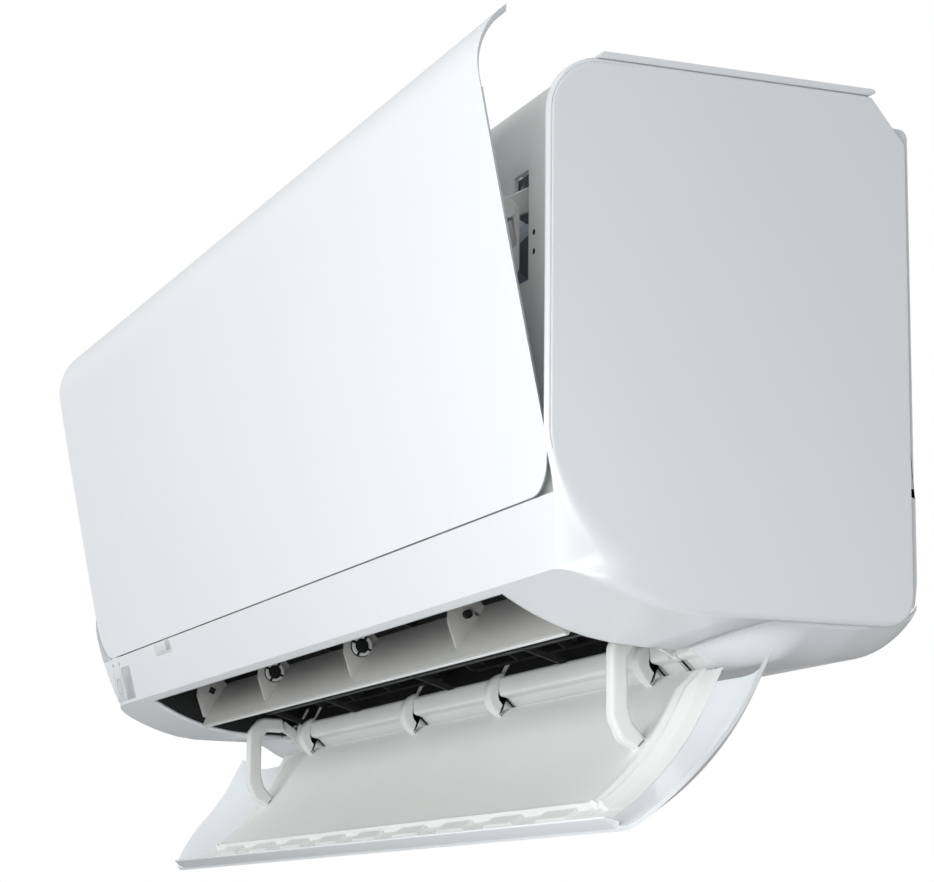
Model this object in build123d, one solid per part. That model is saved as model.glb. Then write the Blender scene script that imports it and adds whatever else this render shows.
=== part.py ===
from build123d import *
import os
from math import acos, atan2, cos, degrees, hypot, radians, sin, tan

# Wall-hung indoor unit of a split air conditioner. X runs along the width, +Y into the wall,
# +Z up. The wall is y = 0 and the origin is the centre of the wall plate's back face. Points
# written as two numbers are (y, z) in the side view. The intake panel and the air flap are
# drawn closed and then swung open to the pose in which the unit rests here.

# ---- overall sizes, mm ----
BODY_W = 890.0          # casing width
BODY_H = 294.0          # top plate to the lowest line of the closed flap
BODY_D = 207.3          # wall to the front edge of the casing
WALL = 2.5              # moulded wall
CROWN = 12.0            # rise of the underside towards both ends
CROWN_RUN = 45.0        # length over which it rises
GAP = 0.5               # clearance between fixed pieces that don't touch
RUN = 0.05              # radial running clearance of a pin in its hole

HALF_W = BODY_W / 2
TOP = BODY_H / 2
BOTTOM = -BODY_H / 2
FRONT = -BODY_D

# ---- casing ----
LID_T = 3.5             # top plate thickness
LID_FRONT_SET = 27.0    # top plate's front edge behind the casing front
LID_REAR_Y = -23.0
SLIT_PITCH = 17.5       # air slits of the top plate
TOP_CORNER_R = 30.0
BACK_EDGE_Y = -6.5      # side face's rear edge
REAR_CHAMFER = (19.5, 24.5)
REAR_FOOT_R = 15.0
FOOT_RISE = 15.0        # side face's foot above the lowest line
STRIP_SET = 15.9        # lower strip's bottom edge behind the front
STRIP_FOOT = 37.2       # and above the lowest line
STRIP_SLOPE = 0.268     # run over rise of the lower strip
STRIP_H = 34.3          # height of the lower strip
BELLY_SLOPE = 0.55      # rise over run of the underside behind the strip
BELLY_R = 140.0
RIM_T = 3.2             # rim beside the panel
POCKET_SET = 13.2       # panel pocket floor behind the front
SKIN_R = 3.0            # rounding of the side faces' edges

STRIP_BOTTOM = (FRONT + STRIP_SET, BOTTOM + STRIP_FOOT)
STRIP_TOP = (STRIP_BOTTOM[0] - STRIP_SLOPE * STRIP_H, STRIP_BOTTOM[1] + STRIP_H)
STRIP_TURN = (FRONT, STRIP_BOTTOM[1] + STRIP_SET / STRIP_SLOPE)
SHELL_TOP = TOP - LID_T
FOOT_Z = BOTTOM + FOOT_RISE
POCKET_Y = FRONT + POCKET_SET
POCKET_BACK = POCKET_Y + WALL

# ---- outlet ----
OUTLET_HALF = HALF_W - 105.0      # half width of the outlet opening
OUTLET_FRONT_Y = STRIP_BOTTOM[0] + 6.4
LIP_Y = -80.0                     # front face of the outlet's rear lip
LIP_TOP = BOTTOM + 18.7
LIP_H = 9.1
BULKHEAD_T = 3.0

# ---- cross-flow fan ----
FAN = (-98.0, BOTTOM + 105.0)
FAN_R = 49.0
FAN_GAP = 8.0                     # wheel to scroll
FAN_HALF = OUTLET_HALF - 19.0
FAN_BLADES = 20
FAN_BAYS = 4
BLADE_T = 1.2
DISC_T = 2.5
SHAFT_R = 4.0
MOTOR_R = 42.0
MOTOR_L = 52.0

# ---- intake panel ----
PANEL_HINGE = (-190.0, BOTTOM + 77.0)
PANEL_OPEN = 9.5                  # degrees from closed to the resting pose
PANEL_T = 2.8
PANEL_SIDE_GAP = 0.8
PANEL_HALF = HALF_W - RIM_T - PANEL_SIDE_GAP
PANEL_CORNER_R = 30.0
PANEL_BOTTOM = STRIP_TOP[1] + 2.0
PANEL_BREAK = TOP - 14.0          # where the flat ends and the top curl starts
PANEL_CURL_R = 37.9
PANEL_RIM_H = 2.0
PANEL_PIN_R = 2.0

# ---- panel drive ----
CRANK_AXIS = (-178.0, TOP - 55.0)
CRANK_L = 31.3
CRANK_REST = 208.0                # direction of the crank at rest, degrees from +Y to +Z
CRANK_TURN = 56.5                 # crank travel while the panel closes
CRANK_PIN_R = 3.0
SLOT_X = HALF_W - 65.0            # centre of the arm's slot in the frame
SLOT_HALF = 9.7
BRACKET_T = 3.0
CRANK_T = 5.5

# ---- air flap ----
FLAP_AXIS = (-78.0, BOTTOM + 10.0)
FLAP_OPEN = 62.8                  # degrees from closed to the resting pose
FLAP_HALF = HALF_W - 5.0
FLAP_T = 2.2
FLAP_HINGE_Y = -84.0
FLAP_FREE = (FRONT + 13.5, BOTTOM + 24.2)
FLAP_CORNER = (-146.0, BOTTOM)
FLAP_R = 150.0
FLAP_CORNER_R = 48.0
FLAP_EASE = 1.0                   # the flap's ends rise this much less than the casing's
LINER_GAP = 5.2                   # skin's outer face to liner's outer face
LINER_T = 1.8
LINER_HALF = OUTLET_HALF + 24.0
HOOK_X = (75.0, 290.0)
HOOK_W = 9.0
HOOK_CENTRE = (-74.5, BOTTOM + 9.0)
HOOK_R = 14.5
HOOK_INNER_R = 5.0
ARM_X = OUTLET_HALF - 18.0
ARM_W = 9.0
FLAP_PIN_R = 1.5

# ---- air louvre ----
LOUVRE_AXIS = (-144.0, BOTTOM + 43.5)
LOUVRE_TOP = (-130.0, BOTTOM + 48.5)
LOUVRE_FOOT = (-148.5, BOTTOM + 16.5)
LOUVRE_T = 2.2
LOUVRE_HALF = OUTLET_HALF - 5.8
LOUVRE_EAR_X = 181.5
EAR_T = 2.4
EAR_R = 8.5
LOUVRE_PIN_R = 2.5

# ---- upright vanes ----
VANES_PER_BANK = 4
VANE_PITCH = 72.0
VANE_FIRST_X = 40.0
VANE_T = 1.5
VANE_PIN_R = 1.5
TIE_ARM = 9.0                     # tie pin's distance from the vane's axis
TIE_PIN_R = 1.2
TIE_PLAY = 0.25

# ---- heat exchanger ----
COIL_T = 26.0
COIL_WALL = 2.6
COIL_HALF = OUTLET_HALF - 22.0
TUBE_R = 3.5
FRONT_SLAB = ((-166.0, BOTTOM + 83.0), (-172.5, BOTTOM + 197.0))
UPPER_SLAB = ((-166.0, BOTTOM + 209.0), (-108.0, BOTTOM + 271.0))
REAR_FOOT = (-52.0, BOTTOM + 167.0)
REAR_LEAN = 112.0                 # direction of the rear slab, degrees from +Y to +Z
SLAB_GAP = 1.0                    # between the upper and the rear slab

# ---- wall plate ----
PLATE_HALF = 300.0
PLATE_HALF_H = 100.0
PLATE_T = 1.5
PLATE_BOLT_X = 225.0
PLATE_BOLT_Z = 75.0
PLATE_BOLT_R = 3.0
BACK_Y = -9.2                     # front side of the chassis back wall


# ---------------------------------------------------------------- helpers
def box(x0, x1, y0, y1, z0, z1):
    """Block between two corners."""
    size = (abs(x1 - x0), abs(y1 - y0), abs(z1 - z0))
    return Pos((x0 + x1) / 2, (y0 + y1) / 2, (z0 + z1) / 2) * Box(*size)


def side_face(points, radii=0.0):
    """Closed outline in the side view, its corners rounded by radii."""
    if not radii:
        return Plane.YZ * make_face(Polyline(*points, close=True))
    return Plane.YZ * make_face(FilletPolyline(*points, radius=radii, close=True))


def along_x(face, x0, x1):
    """Side-view face carried along the width from x0 to x1."""
    return Pos(x0, 0, 0) * extrude(face, amount=x1 - x0, dir=(1, 0, 0))


def prism(points, x0, x1, radii=0.0):
    """Side-view outline carried along the width."""
    return along_x(side_face(points, radii), x0, x1)


def rod(y, z, r, x0, x1):
    """Round bar along the width."""
    return Pos((x0 + x1) / 2, y, z) * Rot(0, 90, 0) * Cylinder(r, abs(x1 - x0))


def swung(shape, axis, angle):
    """Shape turned about a line along the width."""
    return shape.rotate(Axis((0, axis[0], axis[1]), (1, 0, 0)), angle)


def turned(point, axis, angle):
    """Side-view point turned about another one."""
    c, s = cos(radians(angle)), sin(radians(angle))
    dy, dz = point[0] - axis[0], point[1] - axis[1]
    return (axis[0] + dy * c - dz * s, axis[1] + dy * s + dz * c)


def on_circle(centre, r, angle):
    """Side-view point on a circle, its angle counted from +Y to +Z."""
    return (centre[0] + r * cos(radians(angle)), centre[1] + r * sin(radians(angle)))


def mirrored(shape):
    """The same piece at the other end of the unit."""
    return shape.mirror(Plane.YZ)


def both_ends(shape):
    """Solids of a piece and its mirror image."""
    return list(shape.solids()) + list(mirrored(shape).solids())


def save(shape, name):
    """Write one piece, or a list of separate solids, under its node name."""
    solids = shape if isinstance(shape, list) else list(shape.solids())
    whole = solids[0] if len(solids) == 1 else Compound(children=solids)
    export_step(whole, os.path.join("parts", name + ".step"))


# ---------------------------------------------------------------- casing
def casing_outline(inset=0.0, pocket=False):
    """Side-view outline of the casing, inset by a wall, with its corner radii."""
    front = (POCKET_Y if pocket else FRONT) + inset
    top = SHELL_TOP - inset
    back = BACK_EDGE_Y - inset
    foot = FOOT_Z + inset
    slant = inset * hypot(1.0, STRIP_SLOPE)
    lean = inset * hypot(1.0, BELLY_SLOPE)
    belly_y = STRIP_BOTTOM[0] + (STRIP_BOTTOM[1] - FOOT_Z) / BELLY_SLOPE
    belly = (belly_y + (lean - inset) / BELLY_SLOPE, foot)
    strip_y = STRIP_BOTTOM[0] + slant
    # the inset strip line and the inset underside line meet at the inset lower front edge
    low_z = (STRIP_BOTTOM[1] + lean - BELLY_SLOPE * slant) / (1.0 - BELLY_SLOPE * STRIP_SLOPE)
    low_z -= BELLY_SLOPE * STRIP_SLOPE * STRIP_BOTTOM[1] / (1.0 - BELLY_SLOPE * STRIP_SLOPE)
    low = (strip_y - STRIP_SLOPE * (low_z - STRIP_BOTTOM[1]), low_z)
    if pocket:
        ledge = STRIP_TOP[1] - inset
        strip = [(strip_y - STRIP_SLOPE * (ledge - STRIP_BOTTOM[1]), ledge), (front, ledge)]
        strip_radii = [0.01, 0.01]
    else:
        strip = [(front, STRIP_BOTTOM[1] + (strip_y - front) / STRIP_SLOPE)]
        strip_radii = [40.0]
    corner_r = max(TOP_CORNER_R - inset - (front - FRONT - inset), 5.0)
    chamfer_y, chamfer_z = REAR_CHAMFER
    points = [low, *strip, (front, top), (back - chamfer_y, top), (back, top - chamfer_z)]
    points += [(back, foot), belly]
    radii = [0.01, *strip_radii, corner_r, 2.0, 2.0, REAR_FOOT_R - inset, BELLY_R - inset]
    return points, radii


def corner_block(inset=0.0):
    """Space inside the two lower front corners, whose plan radius grows downwards."""
    half = HALF_W - inset
    stations = ((TOP + 10.0, SKIN_R), (STRIP_TURN[1], SKIN_R + 0.5), (STRIP_TOP[1] - 8.0, 14.0),
                (STRIP_BOTTOM[1], 38.0), (BOTTOM - 10.0, 84.0))
    wires = []
    for z, r in stations:
        front = STRIP_BOTTOM[0] - STRIP_SLOPE * (z - STRIP_BOTTOM[1]) + inset * 1.035
        if z > STRIP_TURN[1]:
            front = FRONT + inset
        outline = FilletPolyline((-half, 5.0), (-half, front), (half, front), (half, 5.0),
                                 radius=[0.01, max(r - inset, 1.0), max(r - inset, 1.0), 0.01],
                                 close=True)
        wires.append(Pos(0, 0, z) * make_face(outline))
    return loft(wires, ruled=True)


def casing_body(inset):
    """Solid bounded by the casing's outer skin, or by its inner side when inset."""
    points, radii = casing_outline(inset)
    whole = prism(points, -HALF_W + inset, HALF_W - inset, radii)
    return whole & corner_block(inset)


def pocket_cut():
    """Everything in front of the panel pocket's floor, between the two rims."""
    half = HALF_W - RIM_T
    points, radii = casing_outline()
    outer = prism([(FRONT - 5, STRIP_TOP[1]), (FRONT - 5, TOP + 5), (-150.0, TOP + 5),
                   (-150.0, STRIP_TOP[1])], -half, half)
    inner_points, inner_radii = casing_outline(0.0, pocket=True)
    keep = prism(inner_points, -half, half, inner_radii)
    return outer - keep


def front_casing():
    """Outer shell: both side faces, front frame, lower strip and the two lower ends."""
    shell = casing_body(0.0) - pocket_cut()
    points, radii = casing_outline(WALL, pocket=True)
    hollow = prism(points, -HALF_W + WALL, HALF_W - WALL, radii)
    hollow = hollow & corner_block(WALL)
    shell -= hollow
    open_half = HALF_W - WALL
    shell -= box(-open_half, open_half, BACK_EDGE_Y - WALL - 1, 1, FOOT_Z - 1, SHELL_TOP - 27)
    shell -= box(-open_half, open_half, -25, 1, FOOT_Z - 1, FOOT_Z + 25)
    for side in (-1, 1):
        x = side * open_half
        shell -= box(x - side * 7, x, -25, 1, SHELL_TOP - 30, TOP - 16)
    shell -= box(-open_half, open_half, FLAP_HINGE_Y, 1, FOOT_Z - 1, FOOT_Z + WALL + 1)
    # air inlets at the top and the front, outlet below
    shell -= box(-HALF_W + 45, HALF_W - 45, -165, -42, SHELL_TOP - 10, SHELL_TOP + 1)
    shell -= intake_opening()
    shell -= box(-OUTLET_HALF, OUTLET_HALF, OUTLET_FRONT_Y, -50, BOTTOM, STRIP_BOTTOM[1] + 8)
    shell -= frame_slots()
    shell += panel_lugs()
    shell -= strip_recesses()
    return shell


def intake_opening():
    """Front inlet: a rounded window less its ribs."""
    half, low, high = OUTLET_HALF - 2.0, STRIP_TOP[1] + 24.0, TOP - 27.0
    window = Plane.XZ * RectangleRounded(2 * half, high - low, 12.0)
    window = extrude(window, amount=20.0, both=True)
    window = Pos(0, POCKET_Y, (low + high) / 2) * window
    for i in range(-2, 3):
        x = i * half / 3
        window -= box(x - 2, x + 2, POCKET_Y - 30, POCKET_Y + 30, low, high)
    for share in (1 / 3, 2 / 3):
        z = low + share * (high - low)
        window -= box(-half, half, POCKET_Y - 30, POCKET_Y + 30, z - 2, z + 2)
    return window


def frame_slots():
    """Openings in the frame for the panel's arms, its hinge plates, screws and button."""
    cuts = []
    for side in (-1, 1):
        x = side * SLOT_X
        cuts.append(box(x - SLOT_HALF, x + SLOT_HALF, POCKET_Y - 1, POCKET_BACK + 1, TOP - 106, TOP - 48))
        x = side * HINGE_PLATE_X
        cuts.append(box(x - 4.5, x + 4.5, POCKET_Y - 1, POCKET_BACK + 1,
                        PANEL_HINGE[1] - 4.6, PANEL_HINGE[1] + 17))
        cuts.append(rod(*PANEL_HINGE, PANEL_PIN_R + RUN, x - 12, x + 12))
        for z in (TOP - 83, TOP - 93):
            cuts.append(Pos(side * (SLOT_X + 17), POCKET_Y, z) * Rot(90, 0, 0) * Cylinder(1.6, 8))
    for x in SCREW_X:
        cuts.append(Pos(x, POCKET_Y, SCREW_Z) * Rot(90, 0, 0) * Cylinder(SCREW_R + 0.3, 12))
    cuts.append(Pos(BUTTON_AT[0], POCKET_Y, BUTTON_AT[1]) * Rot(90, 0, 0)
                * Cylinder(BUTTON_R + RUN, 12))
    return cuts


HINGE_PLATE_X = HALF_W - 45.0
SCREW_X = (-OUTLET_HALF + 40.0, 0.0, OUTLET_HALF - 40.0)
SCREW_Z = STRIP_TOP[1] + 16.0
SCREW_R = 1.9
BUTTON_AT = (-HALF_W + 40.0, STRIP_TOP[1] + 42.0)
BUTTON_R = 4.0
BUTTON_TRAVEL = 1.5


def panel_lugs():
    """Lugs behind the frame that hold the panel's hinge pins."""
    y, z = PANEL_HINGE
    outline = [(POCKET_BACK - 0.5, z - 8), (POCKET_BACK - 0.5, z + 8), (y + 2, z + 6),
               (y + 6, z), (y + 2, z - 6)]
    lug = prism(outline, HINGE_PLATE_X + 4.8, HINGE_PLATE_X + 8.3)
    lug -= rod(y, z, PANEL_PIN_R + RUN, HINGE_PLATE_X, HINGE_PLATE_X + 12)
    return both_ends(lug)


# ---------------------------------------------------------------- lower strip
def strip_plane(x, share=0.5):
    """Plane on the lower strip, facing out, at a share of its height."""
    y = STRIP_BOTTOM[0] - STRIP_SLOPE * STRIP_H * share
    z = STRIP_BOTTOM[1] + STRIP_H * share
    n = hypot(1.0, STRIP_SLOPE)
    return Plane(origin=(x, y, z), x_dir=(1, 0, 0), z_dir=(0, -1.0 / n, -STRIP_SLOPE / n))


DISPLAY_X = -HALF_W + 50.0
DISPLAY_W = 50.0
DISPLAY_H = 24.0
INLAY_T = 1.2
LAMP_R = 1.6
RECEIVER_X = -HALF_W + 174.0
RECEIVER_W = 44.0
RECEIVER_H = 9.0


def strip_recesses():
    """Shallow seats for the display inlay and the receiver, and two lamp holes."""
    seat = extrude(strip_plane(DISPLAY_X, 0.42) * RectangleRounded(DISPLAY_W, DISPLAY_H, 1.5),
                   amount=-INLAY_T)
    cuts = [seat]
    for i in (-1, 1):
        lamp = strip_plane(DISPLAY_X + i * 9 - 10, 0.87) * Circle(LAMP_R)
        cuts.append(extrude(lamp, amount=-INLAY_T))
    receiver = strip_plane(RECEIVER_X, 0.86) * RectangleRounded(RECEIVER_W, RECEIVER_H, 4.0)
    cuts.append(extrude(receiver, amount=-2.0))
    return cuts


def display_inlays():
    """Clear half, grey half, the two lamp lenses and the receiver's lens."""
    plane = strip_plane(DISPLAY_X, 0.42)
    inlay = extrude(plane * RectangleRounded(DISPLAY_W, DISPLAY_H, 1.5), amount=-INLAY_T)
    left = extrude(plane * Pos(-DISPLAY_W / 4 - 0.1, 0) * Rectangle(DISPLAY_W / 2 - 0.2, DISPLAY_H),
                   amount=-INLAY_T)
    right = extrude(plane * Pos(DISPLAY_W / 4 + 0.1, 0) * Rectangle(DISPLAY_W / 2 - 0.2, DISPLAY_H),
                    amount=-INLAY_T)
    ring = extrude(plane * Pos(-DISPLAY_W / 4, -2) * Circle(6.0), amount=-0.4)
    ring -= extrude(plane * Pos(-DISPLAY_W / 4, -2) * Circle(5.2), amount=-0.4)
    lamps = []
    for i in (-1, 1):
        lamp = strip_plane(DISPLAY_X + i * 9 - 10, 0.87) * Circle(LAMP_R)
        lamps += list(extrude(lamp, amount=-INLAY_T).solids())
    lens = strip_plane(RECEIVER_X, 0.86) * RectangleRounded(RECEIVER_W - 0.2, RECEIVER_H - 0.2, 3.9)
    lens = extrude(lens, amount=-2.0) - extrude(lens, amount=-0.6)
    return (inlay & left) - ring, inlay & right, lamps, lens


# ---------------------------------------------------------------- top plate
def top_grille():
    """Thin lid over the top with two rows of air slots and a pointed rear edge."""
    front = FRONT + LID_FRONT_SET
    outline = [(front, SHELL_TOP), (front + 3, TOP), (LID_REAR_Y - 2, TOP),
               (LID_REAR_Y, TOP - 1.6), (LID_REAR_Y - 4, SHELL_TOP), (LID_REAR_Y - 5, SHELL_TOP)]
    lid = prism(outline, -HALF_W, HALF_W)
    for y0, y1 in ((-160, -108), (-100, -48)):
        lid -= [box(SLIT_PITCH * i - 4.5, SLIT_PITCH * i + 4.5, y0, y1, TOP - 9, TOP + 9)
                for i in range(-22, 23)]
    return lid


# ---------------------------------------------------------------- chassis
def tangent_angle(point, centre, r):
    """Angle on a circle where a line from an outer point touches it, on the wall side."""
    dy, dz = point[0] - centre[0], point[1] - centre[1]
    return degrees(atan2(dz, dy) + acos(r / hypot(dy, dz)))


SCROLL_R = FAN_R + FAN_GAP
LIP_EDGE = (LIP_Y, LIP_TOP)
SCROLL_START = tangent_angle(LIP_EDGE, FAN, SCROLL_R)
SCROLL_END = 70.0
TROUGH_Z = FAN[1] + SCROLL_R * sin(radians(SCROLL_END)) + 0.4
CHANNEL_Z = BOTTOM + 59.0
CHANNEL_Y = -38.0
PAN_FRONT_Y = -65.0


def scroll_band():
    """Rear air guide: straight from the outlet lip, then an arc round the fan."""
    def curve(r, angle):
        x, y = on_circle(FAN, r, angle)
        return (x, y)
    outer_r = SCROLL_R + WALL
    a, b = SCROLL_START, SCROLL_END
    low_out = (LIP_Y + WALL / cos(radians(a)) , LIP_TOP)
    mid = (a + b) / 2
    edges = [Line(LIP_EDGE, curve(SCROLL_R, a)),
             ThreePointArc(curve(SCROLL_R, a), curve(SCROLL_R, mid), curve(SCROLL_R, b)),
             Line(curve(SCROLL_R, b), curve(outer_r, b)),
             ThreePointArc(curve(outer_r, b), curve(outer_r, mid), curve(outer_r, a)),
             Line(curve(outer_r, a), low_out),
             Line(low_out, LIP_EDGE)]
    return Plane.YZ * make_face(Wire(edges))


def crowned_section(half, rise, thickness, z=BOTTOM):
    """Front-view section of a plate whose ends rise along an arc."""
    flat = half - CROWN_RUN
    r = (CROWN_RUN ** 2 + rise ** 2) / (2 * rise)
    end = degrees(acos(1 - rise / r))

    def at(radius, angle, side):
        return (side * (flat + radius * sin(radians(angle))), z + r - radius * cos(radians(angle)))
    inner = r - thickness
    edges = [Line(at(r, 0, -1), at(r, 0, 1)),
             ThreePointArc(at(r, 0, 1), at(r, end / 2, 1), at(r, end, 1)),
             Line(at(r, end, 1), at(inner, end, 1)),
             ThreePointArc(at(inner, end, 1), at(inner, end / 2, 1), at(inner, 0, 1)),
             Line(at(inner, 0, 1), at(inner, 0, -1)),
             ThreePointArc(at(inner, 0, -1), at(inner, end / 2, -1), at(inner, end, -1)),
             Line(at(inner, end, -1), at(r, end, -1)),
             ThreePointArc(at(r, end, -1), at(r, end / 2, -1), at(r, 0, -1))]
    return make_face(Wire(edges))


def base_pan():
    """Crowned underside behind the flap, rising to the wall."""
    section = Plane.XZ * crowned_section(HALF_W - WALL - 1.2, CROWN + 1.0, WALL)
    flat = Pos(0, PAN_FRONT_Y, 0) * extrude(section, amount=-PAN_FRONT_Y + CHANNEL_Y, dir=(0, 1, 0))
    slope = 9.0
    rear = Pos(0, CHANNEL_Y - 1.5, 0) * extrude(section, amount=41.5, dir=(0, 1, 0))
    rear = rear.rotate(Axis((0, CHANNEL_Y, BOTTOM + WALL), (1, 0, 0)), slope)
    rear &= box(-HALF_W, HALF_W, CHANNEL_Y - 1.5, BACK_EDGE_Y + 0.5, BOTTOM - 5, FOOT_Z + 20)
    return flat + rear


def chassis():
    """Rear moulding: back wall, air guide, outlet lip, base pan, bulkheads and end plates."""
    half = OUTLET_HALF + 1.0 + BULKHEAD_T
    end_half = HALF_W - WALL - 1.2
    body = along_x(scroll_band(), -half, half)
    # rear trough under the coil and the back wall
    body += box(-half, half, FAN[0] + SCROLL_R * cos(radians(SCROLL_END)) - 1, BACK_Y,
                TROUGH_Z - WALL, TROUGH_Z)
    body += box(-end_half, end_half, BACK_Y, BACK_Y + WALL, CHANNEL_Z, TOP - 32)
    body += box(-end_half, end_half, CHANNEL_Y, BACK_Y + WALL, CHANNEL_Z - WALL, CHANNEL_Z)
    body += box(-end_half, end_half, CHANNEL_Y - WALL, CHANNEL_Y, BOTTOM + 1, CHANNEL_Z)
    # outlet lip and the recess behind the flap's hinge edge
    lip = [(LIP_Y, LIP_TOP), (LIP_Y, LIP_TOP - LIP_H), (LIP_Y + 6, LIP_TOP - LIP_H - 1.2),
           (PAN_FRONT_Y, BOTTOM), (PAN_FRONT_Y + WALL, BOTTOM), (PAN_FRONT_Y + WALL, BOTTOM + 2),
           (LIP_Y + 8, LIP_TOP - LIP_H + 1.5), (LIP_Y + 3.5, LIP_TOP - LIP_H + 2),
           (LIP_Y + 3.5, LIP_TOP)]
    body += prism(lip, -half, half)
    shelf = [(FLAP_HINGE_Y + 1, FOOT_Z + 0.4), (FLAP_HINGE_Y + 1, FOOT_Z + 2.6),
             (PAN_FRONT_Y + WALL, FOOT_Z + 0.5), (PAN_FRONT_Y + WALL, BOTTOM + 1),
             (PAN_FRONT_Y, BOTTOM + 1), (PAN_FRONT_Y, FOOT_Z - 1.7)]
    body += [prism(shelf, half, end_half), prism(shelf, -end_half, -half)]
    body += base_pan()
    for side in (-1, 1):
        x = side * (OUTLET_HALF + 1.0)
        body += along_x(bulkhead_face(), min(x, x + side * BULKHEAD_T), max(x, x + side * BULKHEAD_T))
        body += end_plate(side * end_half, -side * WALL)
    body -= box(-end_half + WALL, end_half - WALL, -60, 1, BOTTOM - 20, BOTTOM)
    body += flap_knuckles()
    body -= flap_notches()
    body -= rod(*LOUVRE_AXIS, LOUVRE_PIN_R + RUN, -half - 5, half + 5)
    body -= rod(*FAN, BEARING_R, OUTLET_HALF - 5, half + 5)
    body -= rod(*SPOUT, SPOUT_R + 0.3, OUTLET_HALF - 5, half + 5)
    body -= rod(*FAN, MOTOR_NECK_R + GAP, -half - 5, -OUTLET_HALF + 5)
    body -= [box(x - 14, x + 14, BACK_Y - 1, BACK_Y + WALL + 1,
                 HOOK_SLOT_TOP - HOOK_SLOT_H, HOOK_SLOT_TOP)
             for x in (-PLATE_HOOK_X, PLATE_HOOK_X)]
    return body


BEARING_R = 14.0
MOTOR_NECK_R = 16.0
PLATE_HOOK_X = 180.0
HOOK_SLOT_TOP = PLATE_HALF_H + 4.0
HOOK_SLOT_H = 8.0
HOOK_T = 1.6


def bulkhead_face():
    """Side wall of the air duct, which also carries the coil's end plates."""
    points, radii = casing_outline(WALL + 0.4)
    inside = side_face(points, radii)
    front = FRONT + 19
    low_y = LIP_Y + 3.0
    scroll_y = FAN[0] + SCROLL_R + 1
    region = side_face([(front, STRIP_BOTTOM[1] + 10), (front, BOTTOM), (low_y, BOTTOM),
                        (low_y, FOOT_Z), (scroll_y, FAN[1] - 28), (BACK_Y + 1, FAN[1] - 28),
                        (BACK_Y + 1, TOP - 40), (-60, TOP - 12), (-142, TOP - 12),
                        (front + 3, TOP - 50), (front + 3, STRIP_BOTTOM[1] + 55)])
    return inside & region


def end_plate(x, thickness):
    """Outer end of the chassis, whose rounded top and small notch show behind the casing."""
    z_top = TOP - 18.5
    outline = [(-3.0, z_top), (-20.0, z_top), (-20.0, BOTTOM + 40), (-40.0, FOOT_Z + 3),
               (-60.0, FOOT_Z + 3), (-60.0, BOTTOM + CROWN + 2.0), (-3.0, BOTTOM + CROWN + 8)]
    plate = prism(outline, min(x, x + thickness), max(x, x + thickness),
                  [4.0, 4.0, 0.01, 0.01, 0.01, 0.01, 0.01])
    return plate - box(x - 5, x + 5, -5.5, 0, BOTTOM + 83, BOTTOM + 86)


def pivot_places():
    """Every place along the width where the flap turns on a pin, with its width."""
    places = [(side * x, HOOK_W) for x in HOOK_X for side in (-1, 1)]
    return places + [(side * ARM_X, ARM_W) for side in (-1, 1)]


def flap_notches():
    """Notches in the lip for the hooks and arms, and the bores of their pins."""
    cuts = []
    for x, width in pivot_places():
        half = width / 2 + 0.8
        cuts.append(box(x - half, x + half, LIP_Y - 10, PAN_FRONT_Y + WALL + 0.5,
                        BOTTOM - 1, LIP_TOP + 14))
        cuts.append(rod(*FLAP_AXIS, FLAP_PIN_R, x - half - 6, x + half + 6))
    return cuts


def flap_knuckles():
    """Lugs beside each notch that hold the flap's pins."""
    y, z = FLAP_AXIS
    solids = []
    for x, width in pivot_places():
        half = width / 2 + 0.8
        for side in (-1, 1):
            a, b = x + side * half, x + side * (half + 4.5)
            outline = [(y + 3.6, z - 2.2), (y + 3.6, z + 4.5), (y - 3.2, z + 3.2), (y - 3.2, z - 3.2)]
            solids.append(prism(outline, min(a, b), max(a, b)))
    return solids


def flap_pins():
    """Steel pins on which the flap's hooks and arms turn."""
    return [rod(*FLAP_AXIS, FLAP_PIN_R, x - w / 2 - 4.8, x + w / 2 + 4.8)
            for x, w in pivot_places()]


# ---------------------------------------------------------------- intake panel
def panel_curve(depth):
    """Side-view curve of the closed panel at a depth behind its outer face."""
    foot = (STRIP_TOP[0] - 0.2 + depth, PANEL_BOTTOM - 2)
    middle = (FRONT + 4.3 + depth, (PANEL_BOTTOM + PANEL_BREAK) / 2 - 5)
    brow = (FRONT - 1.9 + depth, PANEL_BREAK)
    centre = (FRONT - 1.9 + PANEL_CURL_R, PANEL_BREAK + 2.0)
    r = PANEL_CURL_R - depth
    return foot, middle, brow, on_circle(centre, r, 150.0), on_circle(centre, r, 117.0)


def panel_band(depth_0, depth_1):
    """Side-view band between two depths of the panel."""
    a, b = panel_curve(depth_0), panel_curve(depth_1)
    edges = [ThreePointArc(*a[:3]), ThreePointArc(*a[2:]), Line(a[4], b[4]),
             ThreePointArc(b[4], b[3], b[2]), ThreePointArc(b[2], b[1], b[0]), Line(b[0], a[0])]
    return Plane.YZ * make_face(Wire(edges))


def panel_outline(inset, top_inset=0.0):
    """Front-view outline of the panel as a block, its lower corners well rounded."""
    half = PANEL_HALF - inset
    low, high = PANEL_BOTTOM + inset, TOP + 40.0 - top_inset
    r = PANEL_CORNER_R - inset
    wire = FilletPolyline((-half, low), (half, low), (half, high), (-half, high),
                          radius=[r, r, 3.0, 3.0], close=True)
    return Pos(0, FRONT - 60, 0) * extrude(Plane.XZ * make_face(wire), amount=-200)


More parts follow.
